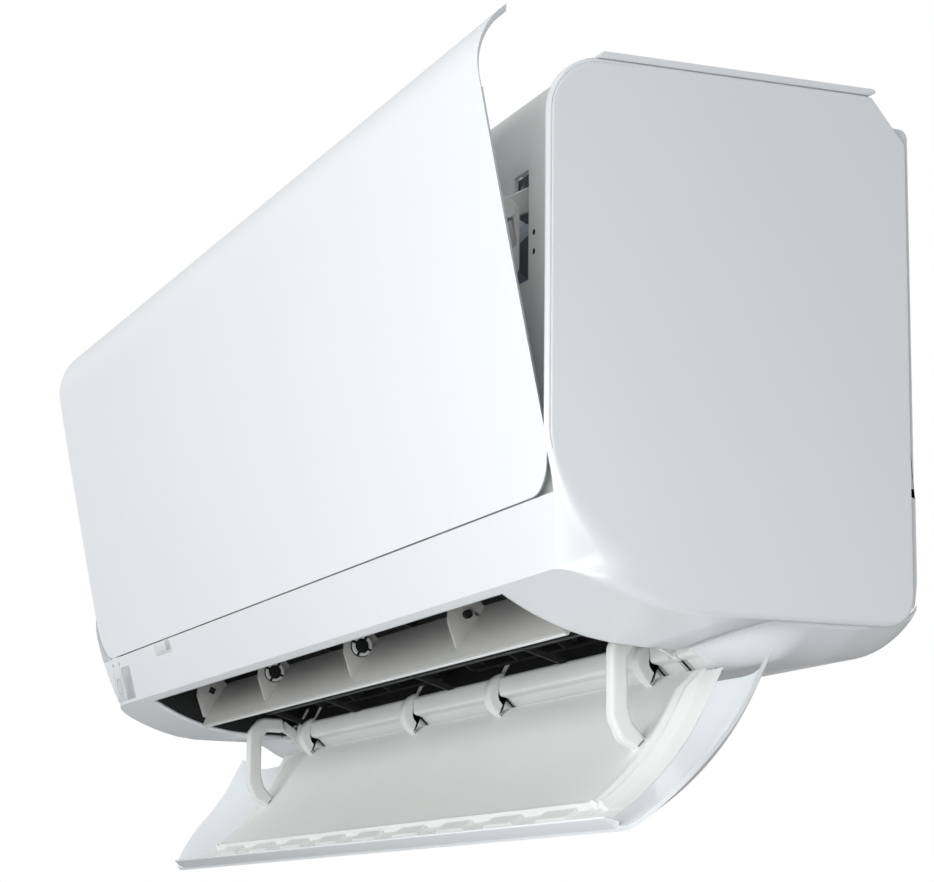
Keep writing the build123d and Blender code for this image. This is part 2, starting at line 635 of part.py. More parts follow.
def intake_panel():
    """Front panel: thin curved skin with a stiffening rim and its hinge plates."""
    skin = along_x(panel_band(0.0, PANEL_T), -PANEL_HALF, PANEL_HALF) & panel_outline(0.0)
    rim = along_x(panel_band(PANEL_T - 0.2, PANEL_T + PANEL_RIM_H), -PANEL_HALF, PANEL_HALF)
    rim &= panel_outline(3.0) - panel_outline(5.0, 30.0)
    rim &= box(-HALF_W, HALF_W, FRONT - 30, -150, PANEL_BOTTOM, PANEL_BREAK)
    panel = skin + rim
    y, z = PANEL_HINGE
    y_in = STRIP_TOP[0] + PANEL_T
    plate = [(y_in - 0.6, z - 2.5), (y_in - 0.6, z + 14), (y, z + 3.6), (y + 3.6, z), (y, z - 2.8)]
    arm = prism(plate, HINGE_PLATE_X - 3, HINGE_PLATE_X + 3)
    arm += rod(y, z, 3.8, HINGE_PLATE_X - 3, HINGE_PLATE_X + 3)
    arm += rod(y, z, PANEL_PIN_R, HINGE_PLATE_X + 2, HINGE_PLATE_X + 8.3)
    return swung(panel + both_ends(arm), PANEL_HINGE, PANEL_OPEN)


def crank_pin_at(share):
    """Crank pin's place after a share of the closing travel."""
    return on_circle(CRANK_AXIS, CRANK_L, CRANK_REST + share * CRANK_TURN)


def slot_path():
    """Crank pin's path in the resting panel, as places along the closing travel."""
    return [turned(crank_pin_at(k / 8), PANEL_HINGE, PANEL_OPEN * k / 8) for k in range(9)]


def panel_brackets():
    """Slotted plates behind the panel in which the crank pins run."""
    path = slot_path()
    a, b = path[0], path[-1]
    length = hypot(b[0] - a[0], b[1] - a[1])
    lean = degrees(atan2(b[1] - a[1], b[0] - a[0]))
    off = max(abs((p[0] - a[0]) * sin(radians(lean)) - (p[1] - a[1]) * cos(radians(lean)))
              for p in path)
    x0 = SLOT_X + CRANK_T / 2 + 1.2
    y_face = FRONT + 3.0 - sin(radians(PANEL_OPEN)) * (a[1] - PANEL_HINGE[1])
    plate = side_face([(a[0] - 8.5, a[1] + 2), (a[0], a[1] + 9), (a[0] + 8.0, a[1] + 2),
                       (a[0] + 8.0, a[1] - 33), (y_face, a[1] - 33), (y_face, a[1] + 2)],
                      [0.01, 6.0, 6.0, 3.0, 0.01, 0.01])
    plate = along_x(plate, x0, x0 + BRACKET_T)
    plate &= swung(panel_keepout(), PANEL_HINGE, PANEL_OPEN)
    half_w = CRANK_PIN_R + off + 0.35
    slot = Pos(x0 + BRACKET_T / 2, (a[0] + b[0]) / 2, (a[1] + b[1]) / 2) * Rot(lean, 0, 0) * extrude(
        Plane.YZ * SlotOverall(length + 2 * half_w, 2 * half_w), amount=10, both=True)
    return both_ends(plate - slot)


def panel_keepout():
    """Everything behind the inner side of the closed panel."""
    block = [(FRONT - 1.9 + PANEL_T, PANEL_BREAK), (-100.0, PANEL_BREAK), (-100.0, PANEL_BOTTOM - 2),
             (STRIP_TOP[0] + PANEL_T - 0.2, PANEL_BOTTOM)]
    curve = panel_curve(PANEL_T)
    edges = [ThreePointArc(*curve[:3]), Line(curve[2], block[1]), Line(block[1], block[2]),
             Line(block[2], curve[0])]
    return along_x(Plane.YZ * make_face(Wire(edges)), -HALF_W, HALF_W)


def panel_crank(side):
    """Crank with its pin, whose head holds the slotted plate."""
    pin = crank_pin_at(0.0)
    x0, x1 = SLOT_X - CRANK_T / 2, SLOT_X + CRANK_T / 2
    arm = rod(*CRANK_AXIS, 6.0, x0, x1) + rod(*pin, 5.5, x0, x1)
    along = atan2(pin[1] - CRANK_AXIS[1], pin[0] - CRANK_AXIS[0])
    n = (-sin(along) * 5.0, cos(along) * 5.0)
    web = [(CRANK_AXIS[0] + n[0], CRANK_AXIS[1] + n[1]), (pin[0] + n[0], pin[1] + n[1]),
           (pin[0] - n[0], pin[1] - n[1]), (CRANK_AXIS[0] - n[0], CRANK_AXIS[1] - n[1])]
    arm += prism(web, x0, x1)
    arm += rod(*pin, CRANK_PIN_R, x1, x1 + 1.2 + BRACKET_T + 1.0)
    arm += rod(*pin, CRANK_PIN_R + 2.2, x1 + 1.6 + BRACKET_T, x1 + 3.0 + BRACKET_T)
    arm -= rod(*CRANK_AXIS, MOTOR_SHAFT_R + RUN, x0 - 1, x1 + 1)
    return arm if side > 0 else mirrored(arm)


MOTOR_SHAFT_R = 2.5
STEPPER_R = 13.0
STEPPER_L = 18.0


def stepper(axis, x_face, side, reach):
    """Small stepping motor whose shaft points along side from x_face."""
    back = x_face - side * STEPPER_L
    body = rod(*axis, STEPPER_R, min(back, x_face), max(back, x_face))
    body += rod(*axis, 4.5, min(x_face, x_face + side * 1.5), max(x_face, x_face + side * 1.5))
    tip = x_face + side * reach
    body += rod(*axis, MOTOR_SHAFT_R, min(x_face, tip), max(x_face, tip))
    ear = Pos(x_face - side * 0.5, axis[0], axis[1]) * Box(1.0, 9.0, 42.0)
    ear -= [rod(axis[0], axis[1] + dz, 1.8, x_face - 2, x_face + 2) for dz in (-17.5, 17.5)]
    return body + ear


def panel_motors():
    """Stepping motors of the two panel cranks."""
    x_face = SLOT_X - CRANK_T / 2 - 2.0
    motor = stepper(CRANK_AXIS, x_face, 1, 2.0 + CRANK_T)
    return both_ends(motor)


# ---------------------------------------------------------------- air flap
FLAP_BETA = atan2(FLAP_FREE[1] - FLAP_CORNER[1], FLAP_CORNER[0] - FLAP_FREE[0])


def flap_points(lift, hinge_y=FLAP_HINGE_Y, cut=0.0):
    """Hinge end, corner and free end of the closed flap's line, lifted off its outer face."""
    corner = (FLAP_CORNER[0] + lift * tan(FLAP_BETA / 2), FLAP_CORNER[1] + lift)
    free = (FLAP_FREE[0] + lift * sin(FLAP_BETA) + cut * cos(FLAP_BETA),
            FLAP_FREE[1] + lift * cos(FLAP_BETA) - cut * sin(FLAP_BETA))
    return (hinge_y, FLAP_CORNER[1] + lift), corner, free


def flap_band(low, high, hinge_y, cut):
    """Side-view band between two lifts of the flap's line."""
    a, b = flap_points(low, hinge_y, cut), flap_points(high, hinge_y, cut)
    lower = FilletPolyline(*a, radius=FLAP_R - low)
    upper = FilletPolyline(*b, radius=FLAP_R - high)
    edges = [*lower.edges(), Line(a[2], b[2]), *upper.edges(), Line(b[0], a[0])]
    return Plane.YZ * make_face(Wire(edges))


def flap_plan():
    """Plan of the flap as a block: round front corners, set-back rear ends."""
    half, front, y0 = FLAP_HALF, FLAP_FREE[0] - 3, FLAP_HINGE_Y
    step = OUTLET_HALF + 4
    points = [(-step, y0 + 5), (-step - 8, y0 - 10), (-half + 14, y0 - 11), (-half, y0 - 6),
              (-half, front), (half, front), (half, y0 - 6), (half - 14, y0 - 11),
              (step + 8, y0 - 10), (step, y0 + 5)]
    r = FLAP_CORNER_R
    radii = [0.01, 5.0, 8.0, 1.5, r, r, 1.5, 8.0, 5.0, 0.01]
    wire = FilletPolyline(*points, radius=radii, close=True)
    return Pos(0, 0, BOTTOM - 10) * extrude(make_face(wire), amount=80)


def flap_skin():
    """Outer skin, crowned at both ends, with its raised nose along the free edge."""
    path = Plane.YZ * FilletPolyline(*flap_points(0.0, FLAP_HINGE_Y, -1.0), radius=FLAP_R)
    section = Plane.XZ * crowned_section(FLAP_HALF, CROWN - FLAP_EASE, FLAP_T)
    section = Pos(0, FLAP_HINGE_Y, 0) * section
    skin = sweep(section, path=path) & flap_plan()
    free = FLAP_FREE
    nose = [(free[0] - 0.3, free[1] + 0.6), (free[0] + 0.9, free[1] + 10.8),
            (free[0] + 2.3, free[1] + 10.6), (free[0] + 4.0, free[1] + 2.0)]
    flat = FLAP_HALF - FLAP_CORNER_R
    skin += prism(nose, -flat, flat)
    return swung(skin, FLAP_AXIS, FLAP_OPEN)


def flap_liner():
    """Inner liner: shallow tray with a row of small pads along its free edge and end ribs."""
    low, high = FLAP_T, LINER_GAP + LINER_T
    tray = along_x(flap_band(low, high, FLAP_HINGE_Y - 2, 14.0), -LINER_HALF, LINER_HALF)
    inner = flap_band(low - 1.0, LINER_GAP, FLAP_HINGE_Y - 4, 16.0)
    tray -= along_x(inner, -LINER_HALF + LINER_T, LINER_HALF - LINER_T)
    step = along_x(flap_band(low, low + 2.0, FLAP_HINGE_Y - 4, 6.0), -LINER_HALF + 8, LINER_HALF - 8)
    _, _, free = flap_points(low + 2.0, cut=12.0)
    keep = Pos(0, free[0], free[1]) * Rot(-degrees(FLAP_BETA), 0, 0) * Box(2 * HALF_W, 13.0, 20.0)
    step &= keep
    tray += step
    for i in range(-4, 5):
        pad = Pos(i * 74.0, free[0], free[1]) * Rot(-degrees(FLAP_BETA), 0, 0) * Box(40.0, 7.5, 3.0)
        tray += pad
    return swung(tray, FLAP_AXIS, FLAP_OPEN)


def beyond_liner():
    """Space on the outer side of the open flap's liner."""
    band = flap_band(-25.0, LINER_GAP + LINER_T + 0.2, FLAP_HINGE_Y + 40, 0.0)
    return swung(along_x(band, -HALF_W, HALF_W), FLAP_AXIS, FLAP_OPEN)


def flap_hooks():
    """Four C-shaped hooks that wrap round the outlet's lip."""
    c, p = HOOK_CENTRE, FLAP_AXIS
    sector = side_face([on_circle(c, HOOK_R + 6, a) for a in (58, 95, 140, 185, 230, 262)] + [c])
    ring = side_face_circle(c, HOOK_R) - side_face_circle(c, HOOK_INNER_R)
    body = ring & sector
    hooks = []
    for x in (-HOOK_X[1], -HOOK_X[0], HOOK_X[0], HOOK_X[1]):
        hook = along_x(body, x - HOOK_W / 2, x + HOOK_W / 2)
        hook += flap_eye(x, [on_circle(c, HOOK_INNER_R + 2, 100), on_circle(c, HOOK_INNER_R + 2, 200)])
        hook -= rod(*p, FLAP_PIN_R + RUN, x - 10, x + 10)
        hooks.append(hook - beyond_liner())
    return hooks


def side_face_circle(centre, r):
    """Round face in the side view."""
    return Plane.YZ * (Pos(centre[0], centre[1]) * Circle(r))


def flap_eye(x, anchors):
    """Eye on a thin web that carries a hook or arm on its pin."""
    eye = rod(*FLAP_AXIS, FLAP_PIN_R + 1.7, x - 2.5, x + 2.5)
    web = [FLAP_AXIS, *anchors]
    return eye + prism(web, x - 1.5, x + 1.5)


def flap_arms():
    """Two long elbow arms: over the lip, straight down, then back to the flap's liner."""
    p = FLAP_AXIS
    top = BOTTOM + 23.8
    outline = [(p[0] - 16, top), (-108.0, top), (-118.5, top - 12), (-118.5, BOTTOM - 25),
               (-114.0, BOTTOM - 35.5), (-102.9, BOTTOM - 42.5), (-96.7, BOTTOM - 35.9),
               (-108.5, BOTTOM - 22), (-108.5, BOTTOM + 8), (-104.0, BOTTOM + 13.6),
               (p[0] - 12, BOTTOM + 13.6)]
    arm = prism(outline, ARM_X - ARM_W / 2, ARM_X + ARM_W / 2,
                [1.5, 6.0, 6.0, 5.0, 4.0, 0.01, 0.01, 4.0, 4.0, 2.0, 1.5])
    arm += flap_eye(ARM_X, [(p[0] - 13, top - 2), (p[0] - 15, BOTTOM + 14.5)])
    arm -= rod(*p, FLAP_PIN_R + RUN, ARM_X - 10, ARM_X + 10)
    arm -= beyond_liner()
    return both_ends(arm)


# ---------------------------------------------------------------- air louvre
def louvre():
    """Curved deflector with a thick lower edge and five ears on its front."""
    t, f = LOUVRE_TOP, LOUVRE_FOOT
    lean = atan2(f[1] - t[1], f[0] - t[0])
    n = (sin(lean), -cos(lean))
    bow = 1.0
    mid = ((t[0] + f[0]) / 2 + n[0] * bow, (t[1] + f[1]) / 2 + n[1] * bow)

    def off(point, d):
        return (point[0] + n[0] * d, point[1] + n[1] * d)
    edges = [ThreePointArc(t, mid, f), Line(f, off(f, LOUVRE_T)),
             ThreePointArc(off(f, LOUVRE_T), off(mid, LOUVRE_T), off(t, LOUVRE_T)),
             Line(off(t, LOUVRE_T), t)]
    plate = along_x(Plane.YZ * make_face(Wire(edges)), -LOUVRE_HALF, LOUVRE_HALF)
    up = (-cos(lean), -sin(lean))
    hem = [off(f, -1.6), off((f[0] + up[0] * 6, f[1] + up[1] * 6), -1.6),
           off((f[0] + up[0] * 7, f[1] + up[1] * 7), 0.6), off(f, LOUVRE_T)]
    plate += prism(hem, -LOUVRE_HALF, LOUVRE_HALF)
    ears = (-LOUVRE_HALF + EAR_T / 2, -LOUVRE_EAR_X, 0.0, LOUVRE_EAR_X, LOUVRE_HALF - EAR_T / 2)
    for x in ears:
        plate += louvre_ear(x)
    for side in (-1, 1):
        a, b = side * LOUVRE_HALF, side * (OUTLET_HALF + 1.0 + BULKHEAD_T)
        plate += rod(*LOUVRE_AXIS, LOUVRE_PIN_R, min(a, b), max(a, b))
    for x in ears[1:4]:
        plate -= rod(*LOUVRE_AXIS, LOUVRE_PIN_R + RUN, x - 5, x + 5)
    y, z = LOUVRE_AXIS
    for dy, dz in EAR_HOLES:
        plate -= rod(y + dy, z + dz, EAR_HOLE_R, ears[3] - 5, ears[3] + 5)
    return plate


EAR_HOLES = ((-0.5, 7.2), (6.6, 1.0))     # lightening holes of the right middle ear
EAR_HOLE_R = 1.6


def louvre_ear(x):
    """Flat ear from the louvre's face to its pivot."""
    a, f = LOUVRE_AXIS, LOUVRE_FOOT
    outline = [(a[0] - EAR_R, a[1] + 2), (a[0], a[1] + EAR_R + 3), (a[0] + 14, a[1] + 5.5),
               (a[0] + 4, a[1] - 14), (f[0] + 3.5, f[1] + 6), (f[0] + 0.5, f[1] + 7.5)]
    return prism(outline, x - EAR_T / 2, x + EAR_T / 2, [4.0, 8.0, 0.01, 0.01, 0.01, 0.01])


def louvre_brackets():
    """Dark hangers under the drain pan whose pins carry the louvre's middle ears."""
    y, z = LOUVRE_AXIS
    hangers = []
    for x in (-LOUVRE_EAR_X, 0.0, LOUVRE_EAR_X):
        x1 = x - EAR_T / 2 - 0.6
        hanger = prism([(y - 5, z), (y - 5, PAN_TONGUE_LOW), (y + 2.0, PAN_TONGUE_LOW + 6.5), (y + 5, z)],
                       x1 - 3, x1)
        hanger += rod(y, z, 5.0, x1 - 3, x1)
        hanger += rod(y, z, LOUVRE_PIN_R, x1 - 1, x + EAR_T / 2 + 3.2)
        hangers.append(hanger)
    return hangers


def louvre_clips():
    """Snap rings on the pins of the left and middle ears, in four segments."""
    y, z = LOUVRE_AXIS
    rings = []
    for x in (-LOUVRE_EAR_X, 0.0):
        x0 = x + EAR_T / 2 + 0.5
        ring = rod(y, z, 5.8, x0, x0 + 2.4) - rod(y, z, 4.2, x0 - 1, x0 + 4)
        ring -= [Pos(x0 + 1.2, y, z) * Rot(a, 0, 0) * Box(10, 1.6, 20) for a in (45, 135)]
        ring += rod(y, z, 4.4, x0, x0 + 1.2) - rod(y, z, LOUVRE_PIN_R, x0 - 1, x0 + 4)
        rings.append(ring)
    return rings


# ---------------------------------------------------------------- duct, pan, guard
PAN_TONGUE_LOW = STRIP_BOTTOM[1] + 20.0
SPOUT = (-165.0, STRIP_BOTTOM[1] + 41.5)
SPOUT_R = 8.0


def drain_pan():
    """Trough under the front coil, whose underside is the duct's upper wall."""
    z = STRIP_BOTTOM[1]
    outline = [(-189.5, z + 55.5), (-189.5, z + 5.6), (-184.0, z + 1.8), (-152.0, z + 20.0),
               (-146.5, z + 33.0), (-144.5, z + 49.0), (-147.0, z + 49.0), (-149.5, z + 39.0),
               (-176.0, z + 34.5), (-187.0, z + 41.0), (-187.0, z + 55.5)]
    pan = prism(outline, -OUTLET_HALF - 0.6, OUTLET_HALF + 0.6)
    for side in (-1, 1):
        x = side * (OUTLET_HALF + 0.6)
        wall = [(-189.0, z + 8), (-189.0, z + 55), (-186.0, z + 55), (-186.0, z + 52),
                (-148.0, z + 47), (-148.0, z + 26)]
        pan += prism(wall, min(x, x - side * 2), max(x, x - side * 2))
    pan -= [Pos(x, -188.0, SCREW_Z) * Rot(90, 0, 0) * Cylinder(SCREW_R, 8) for x in SCREW_X]
    return pan - rod(*SPOUT, SPOUT_R - 1.5, OUTLET_HALF - 4, OUTLET_HALF + 0.6)


def drain_spout():
    """Outlet spout of the drain pan."""
    x0 = OUTLET_HALF + 0.6
    tube = rod(*SPOUT, SPOUT_R, x0, x0 + 22) + rod(*SPOUT, SPOUT_R - 1.5, x0 - 2, x0)
    return tube - rod(*SPOUT, SPOUT_R - 3.0, x0 - 3, x0 + 30)


def outlet_guard():
    """Black guard behind the louvre: three bars on slim struts that clip on the lip."""
    half = OUTLET_HALF - 30.0
    bars = [(-126.0, BOTTOM + 32.2), (-116.5, BOTTOM + 29.4), (-107.0, BOTTOM + 26.6)]
    guard = [prism([(y - 1.6, z - 0.8), (y - 1.6, z + 0.8), (y + 1.6, z + 0.4), (y + 1.6, z - 1.2)],
                   -half, half) for y, z in bars]
    whole = guard[0] + guard[1] + guard[2]
    strut = [(-127.5, BOTTOM + 34.0), (-104.0, BOTTOM + 27.6), (-82.5, BOTTOM + 21.6),
             (LIP_Y + 1.2, LIP_TOP + 2.8), (LIP_Y - 0.5, LIP_TOP + 0.6), (-84.0, BOTTOM + 18.2),
             (-104.0, BOTTOM + 24.4), (-127.5, BOTTOM + 30.8)]
    for x in (-298.0, -180.0, 0.0, 180.0, 298.0):
        whole += prism(strut, x - 1.0, x + 1.0)
    return whole


# ---------------------------------------------------------------- vanes
GUIDE = (cos(radians(90 + SCROLL_START)), sin(radians(90 + SCROLL_START)))
GUIDE_N = (-GUIDE[1], GUIDE[0])


def guide_point(along, out):
    """Side-view point along the straight air guide from its lip and out from it."""
    return (LIP_Y + GUIDE[0] * along + GUIDE_N[0] * out, LIP_TOP + GUIDE[1] * along + GUIDE_N[1] * out)


VANE_ROOT = 14.0        # vane axis, along the guide from the lip
VANE_OUT = (4.0, 24.0)  # vane's reach out from the guide
VANE_RUN = (-8.0, 11.0)


def vane_rod(along, r, out_0, out_1, x):
    """Round bar square to the air guide."""
    y, z = guide_point(along, out_0)
    plane = Plane(origin=(x, y, z), x_dir=(1, 0, 0), z_dir=(0, GUIDE_N[0], GUIDE_N[1]))
    return extrude(plane * Circle(r), amount=out_1 - out_0)


def vane(x):
    """Upright vane with its pivot pin and the pin of its tie bar."""
    a, b = VANE_RUN
    out_0, out_1 = VANE_OUT
    outline = [guide_point(VANE_ROOT + a, out_0 + 2), guide_point(VANE_ROOT + a + 4, out_0),
               guide_point(VANE_ROOT + b, out_0), guide_point(VANE_ROOT + b, out_1),
               guide_point(VANE_ROOT + a, out_1)]
    plate = prism(outline, x - VANE_T / 2, x + VANE_T / 2)
    plate += vane_rod(VANE_ROOT, VANE_PIN_R, 0.8, out_0 + 3, x)
    plate += vane_rod(VANE_ROOT + TIE_ARM, TIE_PIN_R, out_1 - 2, out_1 + 2.8, x)
    return plate


def vane_places(side):
    """Places of the vanes of one bank."""
    return [side * (VANE_FIRST_X + i * VANE_PITCH) for i in range(VANES_PER_BANK)]


def vane_rails():
    """Strips on the air guide in whose holes the vanes turn."""
    rails = []
    for side in (-1, 1):
        places = vane_places(side)
        outline = [guide_point(VANE_ROOT - 4, 0.3), guide_point(VANE_ROOT + 4, 0.3),
                   guide_point(VANE_ROOT + 4, 2.8), guide_point(VANE_ROOT - 4, 2.8)]
        x0, x1 = min(places) - 10, max(places) + 10
        rail = prism(outline, x0, x1)
        rail -= [vane_rod(VANE_ROOT, VANE_PIN_R + RUN, -1, 6, x) for x in places]
        rails += list(rail.solids())
    return rails


def tie_bar(side):
    """Bar that links the vanes of one bank."""
    places = vane_places(side)
    out = VANE_OUT[1]
    outline = [guide_point(VANE_ROOT + TIE_ARM - 3.2, out + 0.4),
               guide_point(VANE_ROOT + TIE_ARM + 3.2, out + 0.4),
               guide_point(VANE_ROOT + TIE_ARM + 3.2, out + 2.0),
               guide_point(VANE_ROOT + TIE_ARM - 3.2, out + 2.0)]
    bar = prism(outline, min(places) - 6, max(places) + 6)
    y, z = guide_point(VANE_ROOT + TIE_ARM - 0.45, out)
    plane = Plane(origin=(0, y, z), x_dir=(1, 0, 0), z_dir=(0, GUIDE_N[0], GUIDE_N[1]))
    play = TIE_PIN_R + TIE_PLAY
    for x in places:
        slot = plane * Pos(x, 0) * Rot(0, 0, 90) * SlotOverall(2 * play + 1.3, 2 * play)
        bar -= extrude(slot, amount=6)
    return bar


# ---------------------------------------------------------------- fan
def fan_wheel():
    """Cross-flow wheel: blades between discs, closed end discs with hubs."""
    a, b = on_circle(FAN, FAN_R - 11.5, 0.0), on_circle(FAN, FAN_R - 0.5, 9.0)
    chord = hypot(b[0] - a[0], b[1] - a[1])
    n = (-(b[1] - a[1]) / chord * BLADE_T, (b[0] - a[0]) / chord * BLADE_T)
    outline = [a, b, (b[0] + n[0], b[1] + n[1]), (a[0] + n[0], a[1] + n[1])]
    blade = prism(outline, -FAN_HALF + DISC_T / 2, FAN_HALF - DISC_T / 2)
    axis = Axis((0, FAN[0], FAN[1]), (1, 0, 0))
    blades = [blade.rotate(axis, 360.0 * i / FAN_BLADES) for i in range(FAN_BLADES)]
    pitch = (2 * FAN_HALF - DISC_T) / FAN_BAYS
    discs = []
    for i in range(FAN_BAYS + 1):
        x = -FAN_HALF + i * pitch
        disc = rod(*FAN, FAN_R, x, x + DISC_T)
        if 0 < i < FAN_BAYS:
            disc -= rod(*FAN, FAN_R - 14.0, x - 1, x + DISC_T + 1)
        discs.append(disc)
    wheel = discs[0].fuse(*discs[1:], *blades)
    for side in (-1, 1):
        x = side * FAN_HALF
        wheel += rod(*FAN, 9.0, min(x, x - side * 14), max(x, x - side * 14))
        wheel -= rod(*FAN, SHAFT_R, min(x + side, x - side * 15), max(x + side, x - side * 15))
    return wheel


def fan_shafts():
    """Motor shaft at the left end and stub shaft at the right end."""
    x = FAN_HALF
    right = rod(*FAN, SHAFT_R, x - 14, OUTLET_HALF + 1 + BULKHEAD_T + 4)
    left = rod(*FAN, SHAFT_R, -OUTLET_HALF - 1 - BULKHEAD_T - MOTOR_L - 4, -x + 14)
    return [right, left]


def fan_bearing():
    """Rubber bearing with its sleeve in the right bulkhead."""
    x0, x1 = OUTLET_HALF - 1.0, OUTLET_HALF + 1 + BULKHEAD_T + 5
    ring = rod(*FAN, BEARING_R, x0, x1) + rod(*FAN, BEARING_R + 2, x1 - 4, x1)
    return ring - rod(*FAN, SHAFT_R + RUN, x0 - 1, x1 + 1)


def fan_motor():
    """Resin-cased fan motor with ribs round its end."""
    x1 = -OUTLET_HALF - 1 - BULKHEAD_T - 2.0
    x0 = x1 - MOTOR_L
    body = rod(*FAN, MOTOR_R, x0 + 4, x1 - 4) + rod(*FAN, MOTOR_R - 5, x0, x1)
    body += rod(*FAN, MOTOR_NECK_R, x1, x1 + 5)
    return body - rod(*FAN, SHAFT_R + RUN, x0 - 1, x1 + 7)


def motor_clamp():
    """Strap that holds the fan motor on two feet of the back wall."""
    x1 = -OUTLET_HALF - 1 - BULKHEAD_T - 12.0
    x0 = x1 - 26
    strap = rod(*FAN, MOTOR_R + 3, x0, x1) - rod(*FAN, MOTOR_R, x0 - 1, x1 + 1)
    feet = [box(x0, x1, FAN[0] + 25, BACK_Y, FAN[1] + s * 34 - 2, FAN[1] + s * 34 + 2) for s in (-1, 1)]
    feet[0] = box(x0, x1, FAN[0] + 31, BACK_Y, FAN[1] - 26, FAN[1] - 22)
    strap += feet
    return strap - rod(*FAN, MOTOR_R, x0 - 1, x1 + 1)


# ---------------------------------------------------------------- heat exchanger
def slab_plane(slab, x):
    """Plane at a slab's lower end centre, its x axis along the slab."""
    a, b = slab
    length = hypot(b[0] - a[0], b[1] - a[1])
    return Plane(origin=(x, a[0], a[1]), x_dir=(0, (b[0] - a[0]) / length, (b[1] - a[1]) / length),
                 z_dir=(1, 0, 0)), length


def rear_slab():
    """Rear slab, which ends just below the lower corner of the upper slab's end."""
    (ay, az), (by, bz) = UPPER_SLAB
    length = hypot(by - ay, bz - az)
    reach = COIL_T / 2 + END_PLATE_LIP
    corner = (by + (bz - az) / length * reach, bz - (by - ay) / length * reach)
    c, s = cos(radians(REAR_LEAN)), sin(radians(REAR_LEAN))
    run = (corner[0] - REAR_FOOT[0]) * c + (corner[1] - REAR_FOOT[1]) * s - SLAB_GAP
    return REAR_FOOT, (REAR_FOOT[0] + c * run, REAR_FOOT[1] + s * run)


END_PLATE_LIP = 1.5
COIL_GROUPS = 10


def coil_slabs():
    """Finned blocks of the heat exchanger, grooved into groups of fins, as light as a stack."""
    solids = []
    for slab in (FRONT_SLAB, UPPER_SLAB, rear_slab()):
        plane, length = slab_plane(slab, -COIL_HALF)
        section = Rectangle(length, COIL_T) - Rectangle(length - 2 * COIL_WALL, COIL_T - 2 * COIL_WALL)
        block = extrude(plane * Pos(length / 2, 0) * section, amount=2 * COIL_HALF)
        groove = plane * Pos(length / 2, 0) * (Rectangle(length + 2, COIL_T + 2)
                                              - Rectangle(length - 8, COIL_T - 3))
        pitch = 2 * COIL_HALF / COIL_GROUPS
        for i in range(1, COIL_GROUPS):
            block -= Pos(i * pitch - 1.5, 0, 0) * extrude(groove, amount=3.0)
        solids += list(block.solids())
    return solids


def coil_ends():
    """Steel end plates of the slabs and the copper bends outside them."""
    plates, bends = [], []
    for slab in (FRONT_SLAB, UPPER_SLAB, rear_slab()):
        for side in (-1, 1):
            plane, length = slab_plane(slab, side * COIL_HALF)
            amount = side * 1.2
            face = plane * Pos(length / 2, 0) * RectangleRounded(length + 1, COIL_T + 2 * END_PLATE_LIP, 3.0)
            plate = extrude(face, amount=amount)
            flange = plane * Pos(length / 2, -COIL_T / 2 - 0.4) * Rectangle(length - 12, 1.6)
            reach = side * (OUTLET_HALF + 0.7 - COIL_HALF)
            plates += list((plate + extrude(flange, amount=reach)).solids())
            count = int(length // 55)
            for i in range(count):
                s = length / count * (i + 0.5)
                for row in (-7.0, 7.0):
                    bends += list(hairpin(slab, side, s, row).solids())
    return plates, bends


def hairpin(slab, side, along, row):
    """Half-round return bend between two tubes of a row."""
    plane, _ = slab_plane(slab, side * (COIL_HALF + 1.2))
    spread, reach = 10.5, 13.0
    at = plane.from_local_coords
    turns = [(-spread, 0.0), (-spread, 6.0), (-spread * 0.6, reach), (spread * 0.6, reach),
             (spread, 6.0), (spread, 0.0)]
    wire = Polyline(*[at((along + s, row, side * d)) for s, d in turns])
    start = Plane(origin=at((along - spread, row, 0)), z_dir=(side, 0, 0))
    return sweep(start * RegularPolygon(TUBE_R, 6), path=wire, transition=Transition.RIGHT)


# ---------------------------------------------------------------- pipes
UNION_X = 150.0
GAS_AT = (-21.0, CHANNEL_Z - 15.0)
LIQUID_AT = (-21.0, CHANNEL_Z - 37.0)
GAS_R, LIQUID_R = 4.76, 3.175
GAS_THREAD_R, LIQUID_THREAD_R = 7.94, 5.56


def pipes():
    """Gas and liquid pipe along the rear channel, each ending in a flare union."""
    solids = []
    for at, r, thread in ((GAS_AT, GAS_R, GAS_THREAD_R), (LIQUID_AT, LIQUID_R, LIQUID_THREAD_R)):
        pipe = rod(*at, r, UNION_X + 12, HALF_W - 30)
        pipe += rod(*at, thread + 2.0, UNION_X + 12, UNION_X + 20)
        pipe += rod(*at, thread, UNION_X, UNION_X + 12)
        solids.append(pipe - rod(*at, r - 1.0, UNION_X - 1, UNION_X + 30))
    return solids


def pipe_saddle():
    """Saddle block that holds both pipes in the rear channel."""
    x0, x1 = OUTLET_HALF - 60, OUTLET_HALF - 30
    block = box(x0, x1, CHANNEL_Y, -8, CHANNEL_Z - 48, CHANNEL_Z - WALL)
    return block - [rod(*GAS_AT, GAS_R, x0 - 1, x1 + 1), rod(*LIQUID_AT, LIQUID_R, x0 - 1, x1 + 1)]


# ---------------------------------------------------------------- filters
def air_filter(side):
    """Frame with a lattice that carries the filter mesh, behind the front inlet."""
    low, high = STRIP_TOP[1] + 22.0, TOP - 25.5
    width, height = OUTLET_HALF - 6.0, high - low
    x = side * (width / 2 + 3.0)
    face = RectangleRounded(width, height, 6.0)
    cell_w, cell_h = (width - 12) / 5, (height - 12) / 4
    for i in range(5):
        for j in range(4):
            centre = Pos(-width / 2 + 6 + cell_w * (i + 0.5), -height / 2 + 6 + cell_h * (j + 0.5))
            face -= centre * Rectangle(cell_w - 2.2, cell_h - 2.2)
    y = POCKET_BACK + 0.4
    sheet = extrude(Plane.XZ * face, amount=-2.4)
    return Pos(x, y, (low + high) / 2) * sheet


